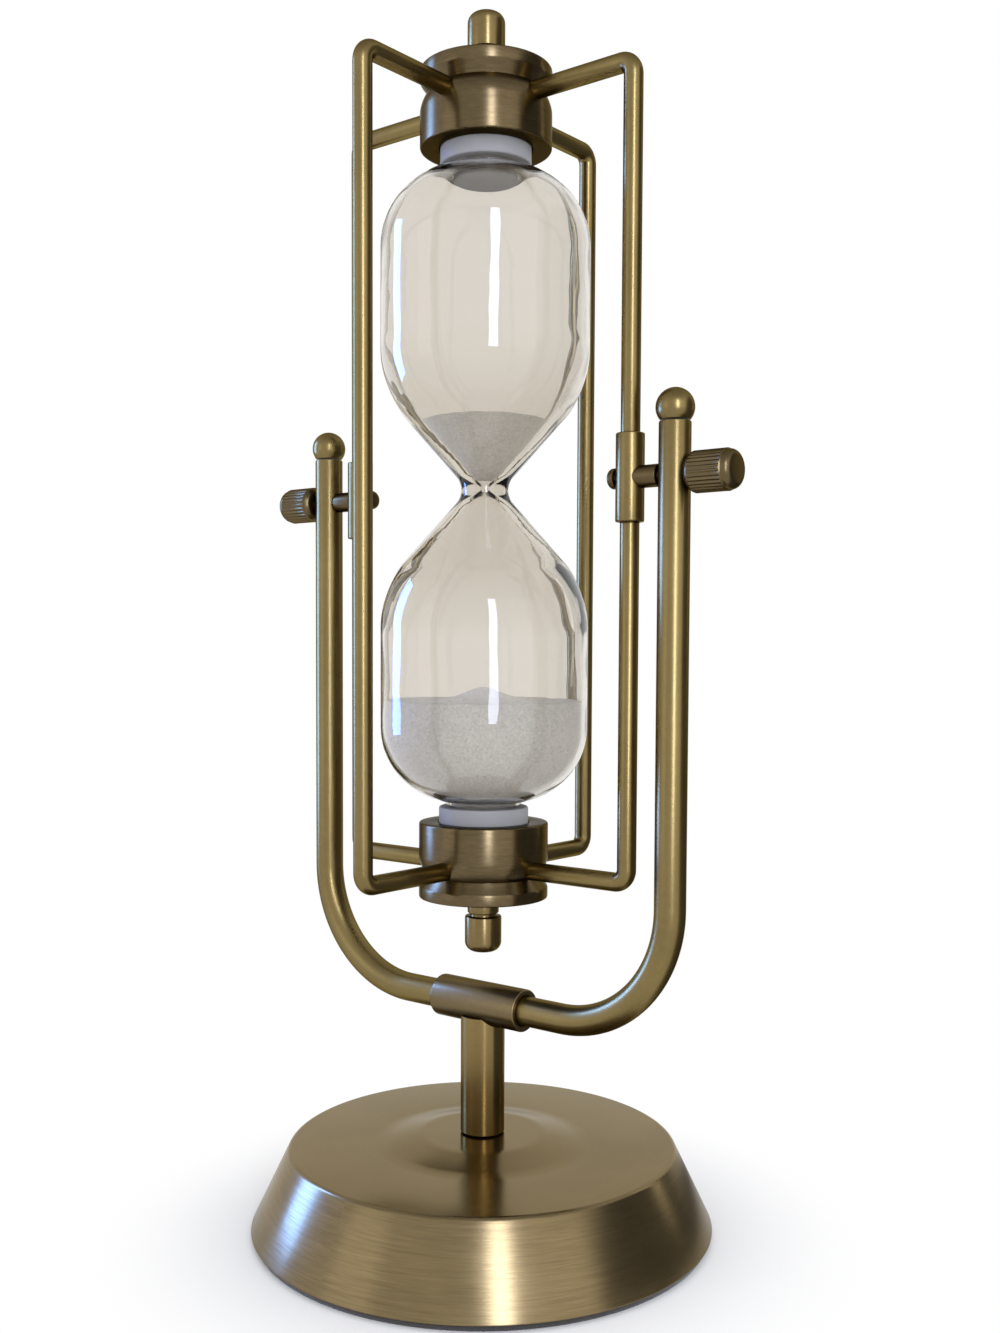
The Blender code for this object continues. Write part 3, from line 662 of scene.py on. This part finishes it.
class HOURGLASS_OT_yoke(Operator):
    """Bent yoke rod, its sleeve and the balls on its arms"""

    bl_idname = "hourglass.yoke"
    bl_label = "Yoke"

    def execute(self, context):
        size = context.scene.hourglass.yoke
        arm_axis = high("yoke_rod").x - size.rod
        arm_top = high("yoke_rod").z
        floor = low("yoke_rod").z + size.rod
        arm = arm_top - floor - size.bend
        run = 2 * (arm_axis - size.bend)
        moves = [(arm, size.bend, -QUARTER), (run, size.bend, -QUARTER), (arm, 0.0, 0.0)]
        down = (0.0, 0.0, -1.0)
        bar = bent_bar(size.rod, (-arm_axis, 0.0, arm_top), down, moves, sides=48, bend_steps=36)
        beyond = arm_axis + 2 * size.rod
        radius = context.scene.hourglass.cage.screw + RUNNING_GAP
        bore = cylinder(radius, (-beyond, 0.0, PIVOT_HEIGHT), (beyond, 0.0, PIVOT_HEIGHT), sides=32)
        satin = satin_brass("yoke_brass")
        add_piece("yoke_bar", carved("yoke_bar", bar, bore), satin, "stand", "brass", "yoke_rod")

        sleeve_gap = 0.12 * MM
        edge = (0.55 * MM, 4)
        half = high("yoke_sleeve").x
        inner = size.rod + sleeve_gap
        tube = [
            (inner, -half, *FINE),
            (size.sleeve, -half, *edge),
            (size.sleeve, half, *edge),
            (inner, half, *FINE),
        ]
        sleeve = turned(tube, steps=72, closed=True, place=along_x(1, floor))
        sleeve_brass = satin_brass("yoke_sleeve_brass", (0.85, 0.85, 0.85))
        add_piece("yoke_sleeve_tube", sleeve, sleeve_brass, "stand", "brass", "yoke_sleeve")

        middle = high("right_ball_finial").z - size.ball
        for side, way in SIDES:
            ball = bmesh.new()
            bmesh.ops.create_uvsphere(ball, u_segments=48, v_segments=32, radius=size.ball)
            cut = bmesh.ops.bisect_plane(
                ball,
                geom=ball.verts[:] + ball.edges[:] + ball.faces[:],
                plane_co=(0.0, 0.0, -size.ball_seat),
                plane_no=(0.0, 0.0, -1.0),
                clear_outer=True,
            )
            rim = [part for part in cut["geom_cut"] if isinstance(part, bmesh.types.BMEdge)]
            bmesh.ops.contextual_create(ball, geom=rim)
            bmesh.ops.translate(ball, verts=ball.verts, vec=(way * arm_axis, 0.0, middle))
            add_piece(f"{side}_ball", ball, satin, "stand", "brass", f"{side}_ball_finial")
        return {"FINISHED"}


class HOURGLASS_OT_pivots(Operator):
    """Pivot screws, spacers and the sleeves that join the side rods"""

    bl_idname = "hourglass.pivots"
    bl_label = "Pivots"

    def execute(self, context):
        size = context.scene.hourglass.cage
        sleeve_gap = 0.08 * MM
        head_edge = (1.1 * MM, 6)
        tip_edge = (0.3 * MM, 2)
        spacer_edge = (0.25 * MM, 3)
        rod_line = high("right_rod_sleeve").x - size.sleeve
        brass = satin_brass("pivot_brass", (0.6, 0.58, 0.56))
        satin = satin_brass("sleeve_brass")
        head_top = low("right_pivot_screw").x
        seat = rod_line - size.sleeve - TIGHT_GAP
        tip = high("right_pivot_screw").x
        inner = size.screw + RUNNING_GAP
        outer_end = high("right_pivot_spacer").x
        half = (high("right_rod_sleeve").z - low("right_rod_sleeve").z) / 2
        bore = size.rod + sleeve_gap
        screw = [
            (0.0, head_top),
            (size.screw_head, head_top, *head_edge),
            (size.screw_head, seat, *CRISP),
            (size.screw, seat),
            (size.screw, tip, *tip_edge),
            (0.0, tip),
        ]
        spacer = [
            (inner, rod_line),
            (size.spacer, rod_line),
            (size.spacer, outer_end, *spacer_edge),
            (inner, outer_end),
        ]
        sleeve = [
            (bore, -half, *CRISP),
            (size.sleeve, -half, *SOFT),
            (size.sleeve, half, *SOFT),
            (bore, half, *CRISP),
        ]
        for side, way in SIDES:
            place = along_x(way, PIVOT_HEIGHT)
            shank = turned(screw, steps=40, place=place)
            add_piece(f"{side}_screw", shank, brass, "cage", "brass", f"{side}_pivot_screw")

            low_end = (way * rod_line, 0.0, PIVOT_HEIGHT - half)
            high_end = (way * rod_line, 0.0, PIVOT_HEIGHT + half)
            ring = turned(spacer, steps=48, closed=True, place=place)
            ring = carved("spacer", ring, cylinder(size.sleeve + TIGHT_GAP, low_end, high_end))
            add_piece(f"{side}_spacer", ring, brass, "cage", "brass", f"{side}_pivot_spacer")

            upright = Matrix.Translation((way * rod_line, 0.0, PIVOT_HEIGHT))
            tube = turned(sleeve, steps=56, closed=True, place=upright)
            add_piece(f"{side}_sleeve", tube, satin, "cage", "brass", f"{side}_rod_sleeve")
        return {"FINISHED"}


class HOURGLASS_OT_knobs(Operator):
    """Ribbed thumb knobs"""

    bl_idname = "hourglass.knobs"
    bl_label = "Knobs"

    def execute(self, context):
        size = context.scene.hourglass.cage
        brass = satin_brass("knob_brass", (0.62, 0.61, 0.58))
        face = low("right_knob").x
        tip = high("right_knob").x
        bore = size.screw + RUNNING_GAP
        bore_end = face + 8.5 * MM
        rib_start = face + 1.5 * MM
        rib_end = tip - 2.4 * MM
        fade = 0.5 * MM
        face_radius = size.knob - 1.1 * MM
        chamfer_radius = size.knob - 0.2 * MM
        tip_radius = size.knob - 0.25 * MM
        tip_edge = (1.9 * MM, 8)
        steps_per_rib = 8
        profile = [
            (0.0, bore_end),
            (bore, bore_end),
            (bore, face),
            (face_radius, face, *FINE),
            (chamfer_radius, rib_start - fade, 0.2 * MM, 3),
            (size.knob, rib_start),
            (size.knob, rib_start + fade),
            (size.knob, rib_end - fade),
            (size.knob, rib_end),
            (tip_radius, rib_end + 0.3 * MM),
            (tip_radius, tip, *tip_edge),
            (0.0, tip),
        ]
        for side, way in SIDES:
            knob = turned(profile, steps=steps_per_rib * size.ribs)
            for vert in knob.verts:
                inside = min(1.0, min(vert.co.z - rib_start, rib_end - vert.co.z) / fade)
                if inside <= 0.0 or vert.co.xy.length < size.knob / 2:
                    continue
                wave = 0.5 - 0.5 * math.cos(size.ribs * math.atan2(vert.co.y, vert.co.x))
                vert.co.xy *= 1 - size.rib_depth * wave * inside / size.knob
            bmesh.ops.transform(knob, matrix=along_x(way, PIVOT_HEIGHT), verts=knob.verts)
            add_piece(f"{side}_thumb_knob", knob, brass, f"{side}_knob", "brass", f"{side}_knob")
        return {"FINISHED"}


class HOURGLASS_OT_rods(Operator):
    """Bent rods of the cage"""

    bl_idname = "hourglass.rods"
    bl_label = "Cage rods"

    def execute(self, context):
        size = context.scene.hourglass.cage
        brass = satin_brass("rod_brass")
        rod_line = high("right_upper_rod").x - size.rod
        hub_end = low("right_upper_rod").x
        spoke_height = reach("right_upper_rod") - size.rod
        inner_end = start("right_upper_rod")
        spoke = rod_line - hub_end - size.corner
        upright = spoke_height - size.corner
        half = [(spoke, size.corner, QUARTER), (upright - inner_end, 0.0, 0.0)]
        whole = [(spoke, size.corner, QUARTER), (2 * upright, size.corner, QUARTER), (spoke, 0.0, 0.0)]
        begin = (hub_end, 0.0, spoke_height)
        outward = (1.0, 0.0, 0.0)
        upper = at_end("top")
        round_about = Matrix.Rotation(math.pi, 4, "Z")
        for name, moves, turn in (
            ("right_upper_rod", half, Matrix.Identity(4)),
            ("right_lower_rod", half, OVER),
            ("left_upper_rod", half, round_about),
            ("left_lower_rod", half, round_about @ OVER),
            ("front_rod", whole, Matrix.Rotation(-QUARTER, 4, "Z")),
            ("back_rod", whole, Matrix.Rotation(QUARTER, 4, "Z")),
        ):
            bar = bent_bar(size.rod, begin, outward, moves, sides=32, bend_steps=14, place=upper @ turn)
            add_piece(f"{name}_bar", bar, brass, "cage", "brass", name)
        return {"FINISHED"}


class HOURGLASS_OT_ends(Operator):
    """Hubs, finials and stoppers at both ends of the glass"""

    bl_idname = "hourglass.ends"
    bl_label = "Hubs, finials and stoppers"

    def execute(self, context):
        size = context.scene.hourglass.ends
        stud = 2.4 * MM
        bore = stud + RUNNING_GAP
        seat = start("top_hub")
        hub_top = reach("top_hub")
        recess = size.stopper + SEAT_GAP
        slope_top = size.flange_foot + size.flange_rise
        shoulder_edge = 0.95 * math.hypot(size.cup - size.waist, size.flange_foot - size.shoulder)
        waist_edge = (0.08 * MM, 2)
        hub = [
            (bore, seat + size.recess),
            (recess, seat + size.recess),
            (recess, seat, *FINE),
            (size.cup, seat, *ROUND),
            (size.cup, seat + size.shoulder, shoulder_edge, 14),
            (size.waist, seat + size.flange_foot, *waist_edge),
            (size.cup, seat + slope_top, *SOFT),
            (size.cup, hub_top, *ROUND),
            (bore, hub_top),
        ]
        ring_height = 4.0 * MM
        groove_height = 0.8 * MM
        groove_depth = 0.7 * MM
        groove_edge = (0.1 * MM, 2)
        tip_edge = (2.7 * MM, 10)
        stud_end = start("top_finial")
        foot = hub_top + TIGHT_GAP
        groove = hub_top + SEAT_GAP + ring_height
        groove_radius = size.finial_neck - groove_depth
        body = groove + groove_height
        tip = reach("top_finial")
        finial = [
            (0.0, stud_end),
            (stud, stud_end),
            (stud, foot),
            (size.finial_neck, foot, *CRISP),
            (size.finial_neck, groove, *FINE),
            (groove_radius, groove, *groove_edge),
            (groove_radius, body, *groove_edge),
            (size.finial, body, *SOFT),
            (size.finial, tip, *tip_edge),
            (0.0, tip),
        ]
        plug_length = 3.2 * MM
        plug_edge = (0.4 * MM, 3)
        plug_end = start("top_stopper")
        seam = plug_end + plug_length
        stopper_top = reach("top_stopper")
        stopper = [
            (0.0, plug_end),
            (size.plug, plug_end, *plug_edge),
            (size.plug, seam),
            (size.stopper, seam, *ROUND),
            (size.stopper, stopper_top),
            (0.0, stopper_top),
        ]
        brass = brushed_brass("finial_brass", 0.12, look().turned, 0.60, look().edge, (1.0, 0.97, 0.80))
        # The hubs' brass is toned darker than the rest: painted shade.
        hub_shaded_brass = brushed_brass("hub_shaded_brass", 0.27, look().turned, 0.55, look().edge, (0.66, 0.65, 0.66))
        # Dark bluish brass for the hubs' mouths and recesses: painted shade.
        darkened = satin_brass("hub_mouth_painted_shade", (0.32, 0.34, 0.48))
        plastic = pale_plastic()
        for side in ("top", "bottom"):
            place = at_end(side)
            cup = turned(hub, steps=128, closed=True, place=place)
            mesh = add_piece(f"{side}_hub_cup", cup, hub_shaded_brass, "cage", "brass", f"{side}_hub").data
            mesh.materials.append(darkened)
            # Faces at the open face or inside the recess take the painted shade.
            for face in mesh.polygons:
                out = math.hypot(face.center.x, face.center.y)
                rise = abs(face.center.z - PIVOT_HEIGHT) - seat
                face.material_index = int(rise < MOUTH_DEPTH or out < recess)
            knob = turned(finial, steps=64, place=place)
            add_piece(f"{side}_finial_knob", knob, brass, "cage", "brass", f"{side}_finial")
            plug = turned(stopper, steps=96, place=place)
            add_piece(f"{side}_stopper_plug", plug, plastic, "cage", "stopper", f"{side}_stopper")
        return {"FINISHED"}


def dome(size, inset, last_radius):
    """A bulb's crown, from its wall in to last_radius, as part of an ellipse."""
    steps = 18
    width = size.bulb - inset - size.dome_flat
    rise = size.dome_top - inset - size.dome_start
    last = math.acos((last_radius - size.dome_flat) / width)
    angles = [last * step / steps for step in range(steps + 1)]
    across, up = size.dome_flat, size.dome_start
    return [(across + width * math.cos(angle), up + rise * math.sin(angle)) for angle in angles]


def bulb_wall(size, inset, neck_radius, neck_height, neck_rounding, last_radius):
    """One bulb's wall, from the waist to its mouth."""
    wall = size.bulb - inset
    corner = neck_height + (wall - neck_radius) / math.tan(size.cone)
    return [
        (neck_radius, neck_height, *neck_rounding),
        (wall, corner, size.rounding * math.tan(size.cone / 2), 16),
        *dome(size, inset, last_radius),
    ]


def flipped(corners):
    """The same corners under the waist, from the mouth up."""
    return [(radius, -height, *rounding) for radius, height, *rounding in reversed(corners)]


class HOURGLASS_OT_glass(Operator):
    """Blown glass with a narrow waist"""

    bl_idname = "hourglass.glass"
    bl_label = "Glass"

    def execute(self, context):
        size = context.scene.hourglass.glass
        lip = (0.45 * MM, 4)
        neck_edge = (1.8 * MM, 8)
        orifice_edge = (0.7 * MM, 4)
        mouth = reach("glass_vessel")
        bore = context.scene.hourglass.ends.plug + SEAT_GAP
        outer = bulb_wall(size, 0.0, size.neck, size.cone_start, neck_edge, size.collar)
        outer.append((size.collar, mouth, *lip))
        inner = bulb_wall(size, size.wall, size.orifice, size.orifice_half, orifice_edge, bore)
        inner.append((bore, mouth, *lip))
        corners = [*flipped(outer), *outer, *reversed(inner), *reversed(flipped(inner))]
        vessel = turned(corners, steps=128, closed=True, place=at_end("top"))
        add_piece("blown_vessel", vessel, blown_glass(), "cage", "glass", "glass_vessel")
        return {"FINISHED"}


class HOURGLASS_OT_sand(Operator):
    """Sand in both bulbs"""

    bl_idname = "hourglass.sand"
    bl_label = "Sand"

    def execute(self, context):
        size = context.scene.hourglass.glass
        grains = loose_sand()
        edge = (0.25 * MM, 2)
        cone_gap = 0.25 * MM
        dip = 1.0 * MM
        slope = math.tan(size.cone)
        level = size.upper_level
        tip = start("upper_sand")
        tip_radius = size.orifice + (tip - size.orifice_half) * slope - cone_gap
        radius = tip_radius + (level - tip) * slope
        profile = [
            (0.0, tip),
            (tip_radius, tip, *FINE),
            (radius, level, *edge),
            (radius * 0.62, level - dip * 0.3, 2.0 * MM, 4),
            (radius * 0.25, level - dip * 0.8, 1.5 * MM, 4),
            (0.0, level - dip),
        ]
        heap = turned(profile, steps=96)
        self.settle(heap, level - 1.5 * MM, 0.18 * MM)
        bmesh.ops.transform(heap, matrix=at_end("top"), verts=heap.verts)
        add_piece("upper_sand_heap", heap, grains, "cage", "sand", "upper_sand")

        wall_gap = 0.15 * MM
        plug_gap = 0.35 * MM
        floor_gap = 0.2 * MM
        inset = size.wall + wall_gap
        plug = context.scene.hourglass.ends.plug + plug_gap
        floor = start("top_stopper") - floor_gap
        level = size.lower_level
        profile = [
            (0.0, level - size.mound),
            (2.2 * MM, level - size.mound * 0.92, 1.2 * MM, 4),
            (9.0 * MM, level - 0.25 * MM, 3.5 * MM, 6),
            (17.0 * MM, level + 0.15 * MM, 3.0 * MM, 4),
            (size.bulb - inset, level, *edge),
            *dome(size, inset, plug),
            (plug, floor),
            (0.0, floor),
        ]
        heap = turned(profile, steps=128)
        bmesh.ops.transform(heap, matrix=OVER, verts=heap.verts)
        self.settle(heap, -level - 0.6 * MM, 0.25 * MM)
        bmesh.ops.translate(heap, verts=heap.verts, vec=(0.0, 0.0, PIVOT_HEIGHT))
        add_piece("lower_sand_heap", heap, grains, "cage", "sand", "lower_sand")
        return {"FINISHED"}

    @staticmethod
    def settle(shape, level, height):
        """Roughens the open surface of a heap a little."""
        lumps_per_metre = 260.0
        for vert in shape.verts:
            if vert.co.z > level:
                vert.co.z += height * noise.noise(vert.co * lumps_per_metre)


def background(tree, way):
    """Where the white background shows, and its level.

    It is less in reflections of the ceiling and of one side. Rays from matt surfaces get an addition,
    because the lamps don't shine through the glass onto the sand.
    """
    dim_side = math.radians(134.0)
    dim_level = 0.15
    ceiling_level = 0.55
    matt_addition = 0.30
    path = add_node(tree, "ShaderNodeLightPath").outputs
    seen = maths(tree, "MAXIMUM", path["Is Camera Ray"], path["Is Transmission Ray"])
    seen = maths(tree, "MAXIMUM", seen, path["Is Glossy Ray"])
    inputs = {0: way, 1: (math.sin(dim_side), -math.cos(dim_side), 0.0)}
    aside = add_node(tree, "ShaderNodeVectorMath", inputs, operation="DOT_PRODUCT").outputs["Value"]
    climb = add_node(tree, "ShaderNodeSeparateXYZ", {0: way}).outputs[2]
    ceiling = spread(tree, climb, 1.0, ceiling_level, 0.5, 0.95)
    shade = maths(tree, "MULTIPLY", ceiling, spread(tree, aside, 1.0, dim_level, 0.74, 0.84))
    mirrored = maths(tree, "SUBTRACT", path["Is Glossy Ray"], path["Is Transmission Ray"])
    level = maths(tree, "MAXIMUM", shade, maths(tree, "SUBTRACT", 1.0, mirrored))
    matt = maths(tree, "MINIMUM", path["Diffuse Depth"], 1.0)
    return seen, maths(tree, "ADD", level, maths(tree, "MULTIPLY", matt, matt_addition))


class HOURGLASS_OT_stage(Operator):
    """Pale floor, soft light and the camera"""

    bl_idname = "hourglass.stage"
    bl_label = "Stage"

    def execute(self, context):
        self.add_floor(context)
        self.add_world(context)
        self.add_lamps(context)
        self.add_camera(context)
        context.scene.view_settings.view_transform = "Standard"
        return {"FINISHED"}

    @staticmethod
    def add_floor(context):
        """A matt floor near the base, which fades to white further out."""
        fade_start = 58 * MM
        fade_end = 105 * MM
        shape = bmesh.new()
        bmesh.ops.create_circle(shape, cap_ends=True, segments=64, radius=6.0)
        floor = bpy.data.objects.new("floor", to_mesh("floor", shape))
        context.scene.collection.objects.link(floor)
        material, tree, shader = new_material("pale_floor")
        inputs = {"Base Color": (0.94, 0.94, 0.94, 1.0), "Roughness": 0.9, "Specular IOR Level": 0.0}
        set_inputs(shader, inputs)
        spot = object_point(tree)
        away = add_node(tree, "ShaderNodeVectorMath", {0: spot}, operation="LENGTH").outputs["Value"]
        inputs = {0: away, 1: fade_start, 2: fade_end}
        fade = add_node(tree, "ShaderNodeMapRange", inputs, interpolation_type="SMOOTHSTEP").outputs[0]
        way = add_node(tree, "ShaderNodeVectorMath", {0: spot}, operation="NORMALIZE").outputs["Vector"]
        seen, level = background(tree, way)
        white = add_node(tree, "ShaderNodeEmission", {"Color": WHITE, "Strength": level})
        inputs = {0: maths(tree, "MULTIPLY", fade, seen), 1: shader.outputs[0], 2: white.outputs[0]}
        mixed = add_node(tree, "ShaderNodeMixShader", inputs)
        tree.links.new(mixed.outputs[0], tree.nodes["Material Output"].inputs["Surface"])
        floor.data.materials.append(material)

    @staticmethod
    def add_world(context):
        """An even room, with a white background where it is seen."""
        world = bpy.data.worlds.new("soft_room")
        world.use_nodes = True
        context.scene.world = world
        tree = world.node_tree
        room = add_node(tree, "ShaderNodeBackground", {"Color": WHITE, "Strength": 0.88})
        seen, level = background(tree, add_node(tree, "ShaderNodeTexCoord").outputs["Generated"])
        white = add_node(tree, "ShaderNodeBackground", {"Color": WHITE, "Strength": level})
        mixed = add_node(tree, "ShaderNodeMixShader", {0: seen, 1: room.outputs[0], 2: white.outputs[0]})
        tree.links.new(mixed.outputs[0], tree.nodes["World Output"].inputs["Surface"])

    @staticmethod
    def add_lamps(context):
        """Soft lamps, not seen through glass. The window's shows only in reflections."""
        target = Vector((0.0, 0.0, 0.25))
        for name, azimuth, away, rise, width, height, power, tint in (
            ("window_lamp", -71.0, 1.0, 0.33, 0.26, 0.80, 17.0, (0.11, 0.27, 1.0)),
            ("main_lamp", 48.5, 1.1, 0.43, 0.19, 0.82, 7.0, (0.72, 0.79, 1.0)),
            ("door_lamp", 76.0, 1.1, 0.43, 0.76, 0.82, 0.8, (1.0, 0.97, 0.93)),
            ("front_lamp", -24.0, 1.2, 0.35, 0.50, 0.66, 0.5, (1.0, 0.98, 0.95)),
            ("side_lamp", 152.0, 1.1, 0.45, 0.10, 0.70, 0.4, (1.0, 0.97, 0.90)),
        ):
            angle = math.radians(azimuth)
            place = Vector((math.sin(angle) * away, -math.cos(angle) * away, rise))
            light = bpy.data.lights.new(name, "AREA")
            light.shape = "RECTANGLE"
            light.size = width
            light.size_y = height
            light.energy = power
            light.color = tint
            lamp = bpy.data.objects.new(name, light)
            context.scene.collection.objects.link(lamp)
            lamp.visible_transmission = False
            lamp.visible_diffuse = name != "window_lamp"
            lamp.location = place
            lamp.rotation_euler = (target - place).to_track_quat("-Z", "Y").to_euler()

    @staticmethod
    def add_camera(context):
        """A camera that sees the object as the photograph does."""
        azimuth, yaw, pitch, roll = (math.radians(angle) for angle in (39.456, -0.661, 2.979, 0.246))
        distance = 371.232 * MM
        height = 155.769 * MM
        sensor = 36.0
        pixels = 1333  # along the sensor, as for the next two
        focal_length = 1397.5
        shift = 53.5
        view = bpy.data.cameras.new("view")
        view.sensor_width = sensor
        view.lens = sensor * focal_length / pixels
        view.shift_y = shift / pixels
        view.clip_start = 0.01
        camera = bpy.data.objects.new("view", view)
        context.scene.collection.objects.link(camera)
        camera.location = (math.sin(azimuth) * distance, -math.cos(azimuth) * distance, height)
        ahead = Vector((-math.sin(azimuth + yaw), math.cos(azimuth + yaw), 0.0)) * math.cos(pitch)
        ahead.z = -math.sin(pitch)
        turn = ahead.to_track_quat("-Z", "Y").to_matrix() @ Matrix.Rotation(roll, 3, "Z")
        camera.rotation_euler = turn.to_euler()
        context.scene.camera = camera


class HOURGLASS_PT_tools(Panel):
    """Lists the pieces in the sidebar"""

    bl_idname = "HOURGLASS_PT_tools"
    bl_label = "Rotating Hourglass"
    bl_space_type = "VIEW_3D"
    bl_region_type = "UI"
    bl_category = "Hourglass"

    def draw(self, context):
        for operator in OPERATORS:
            self.layout.operator(operator.bl_idname)
        for group in ("finish", "base", "yoke", "cage", "ends", "glass"):
            settings = getattr(context.scene.hourglass, group)
            box = self.layout.box()
            box.label(text=group.capitalize())
            for name in settings.__annotations__:
                box.prop(settings, name)


OPERATORS = (
    HOURGLASS_OT_stage,
    HOURGLASS_OT_base,
    HOURGLASS_OT_stem,
    HOURGLASS_OT_yoke,
    HOURGLASS_OT_pivots,
    HOURGLASS_OT_knobs,
    HOURGLASS_OT_rods,
    HOURGLASS_OT_ends,
    HOURGLASS_OT_glass,
    HOURGLASS_OT_sand,
)
CLASSES = (
    HourglassFinish,
    HourglassBase,
    HourglassYoke,
    HourglassCage,
    HourglassEnds,
    HourglassGlass,
    HourglassSettings,
    *OPERATORS,
    HOURGLASS_PT_tools,
)


def register():
    for item in CLASSES:
        bpy.utils.register_class(item)
    bpy.types.Scene.hourglass = PointerProperty(type=HourglassSettings)


def unregister():
    del bpy.types.Scene.hourglass
    for item in reversed(CLASSES):
        bpy.utils.unregister_class(item)


def main():
    register()
    bpy.ops.hourglass.stage()
    bpy.ops.hourglass.base()
    bpy.ops.hourglass.stem()
    bpy.ops.hourglass.yoke()
    bpy.ops.hourglass.pivots()
    bpy.ops.hourglass.knobs()
    bpy.ops.hourglass.rods()
    bpy.ops.hourglass.ends()
    bpy.ops.hourglass.glass()
    bpy.ops.hourglass.sand()


if __name__ == "__main__":
    main()
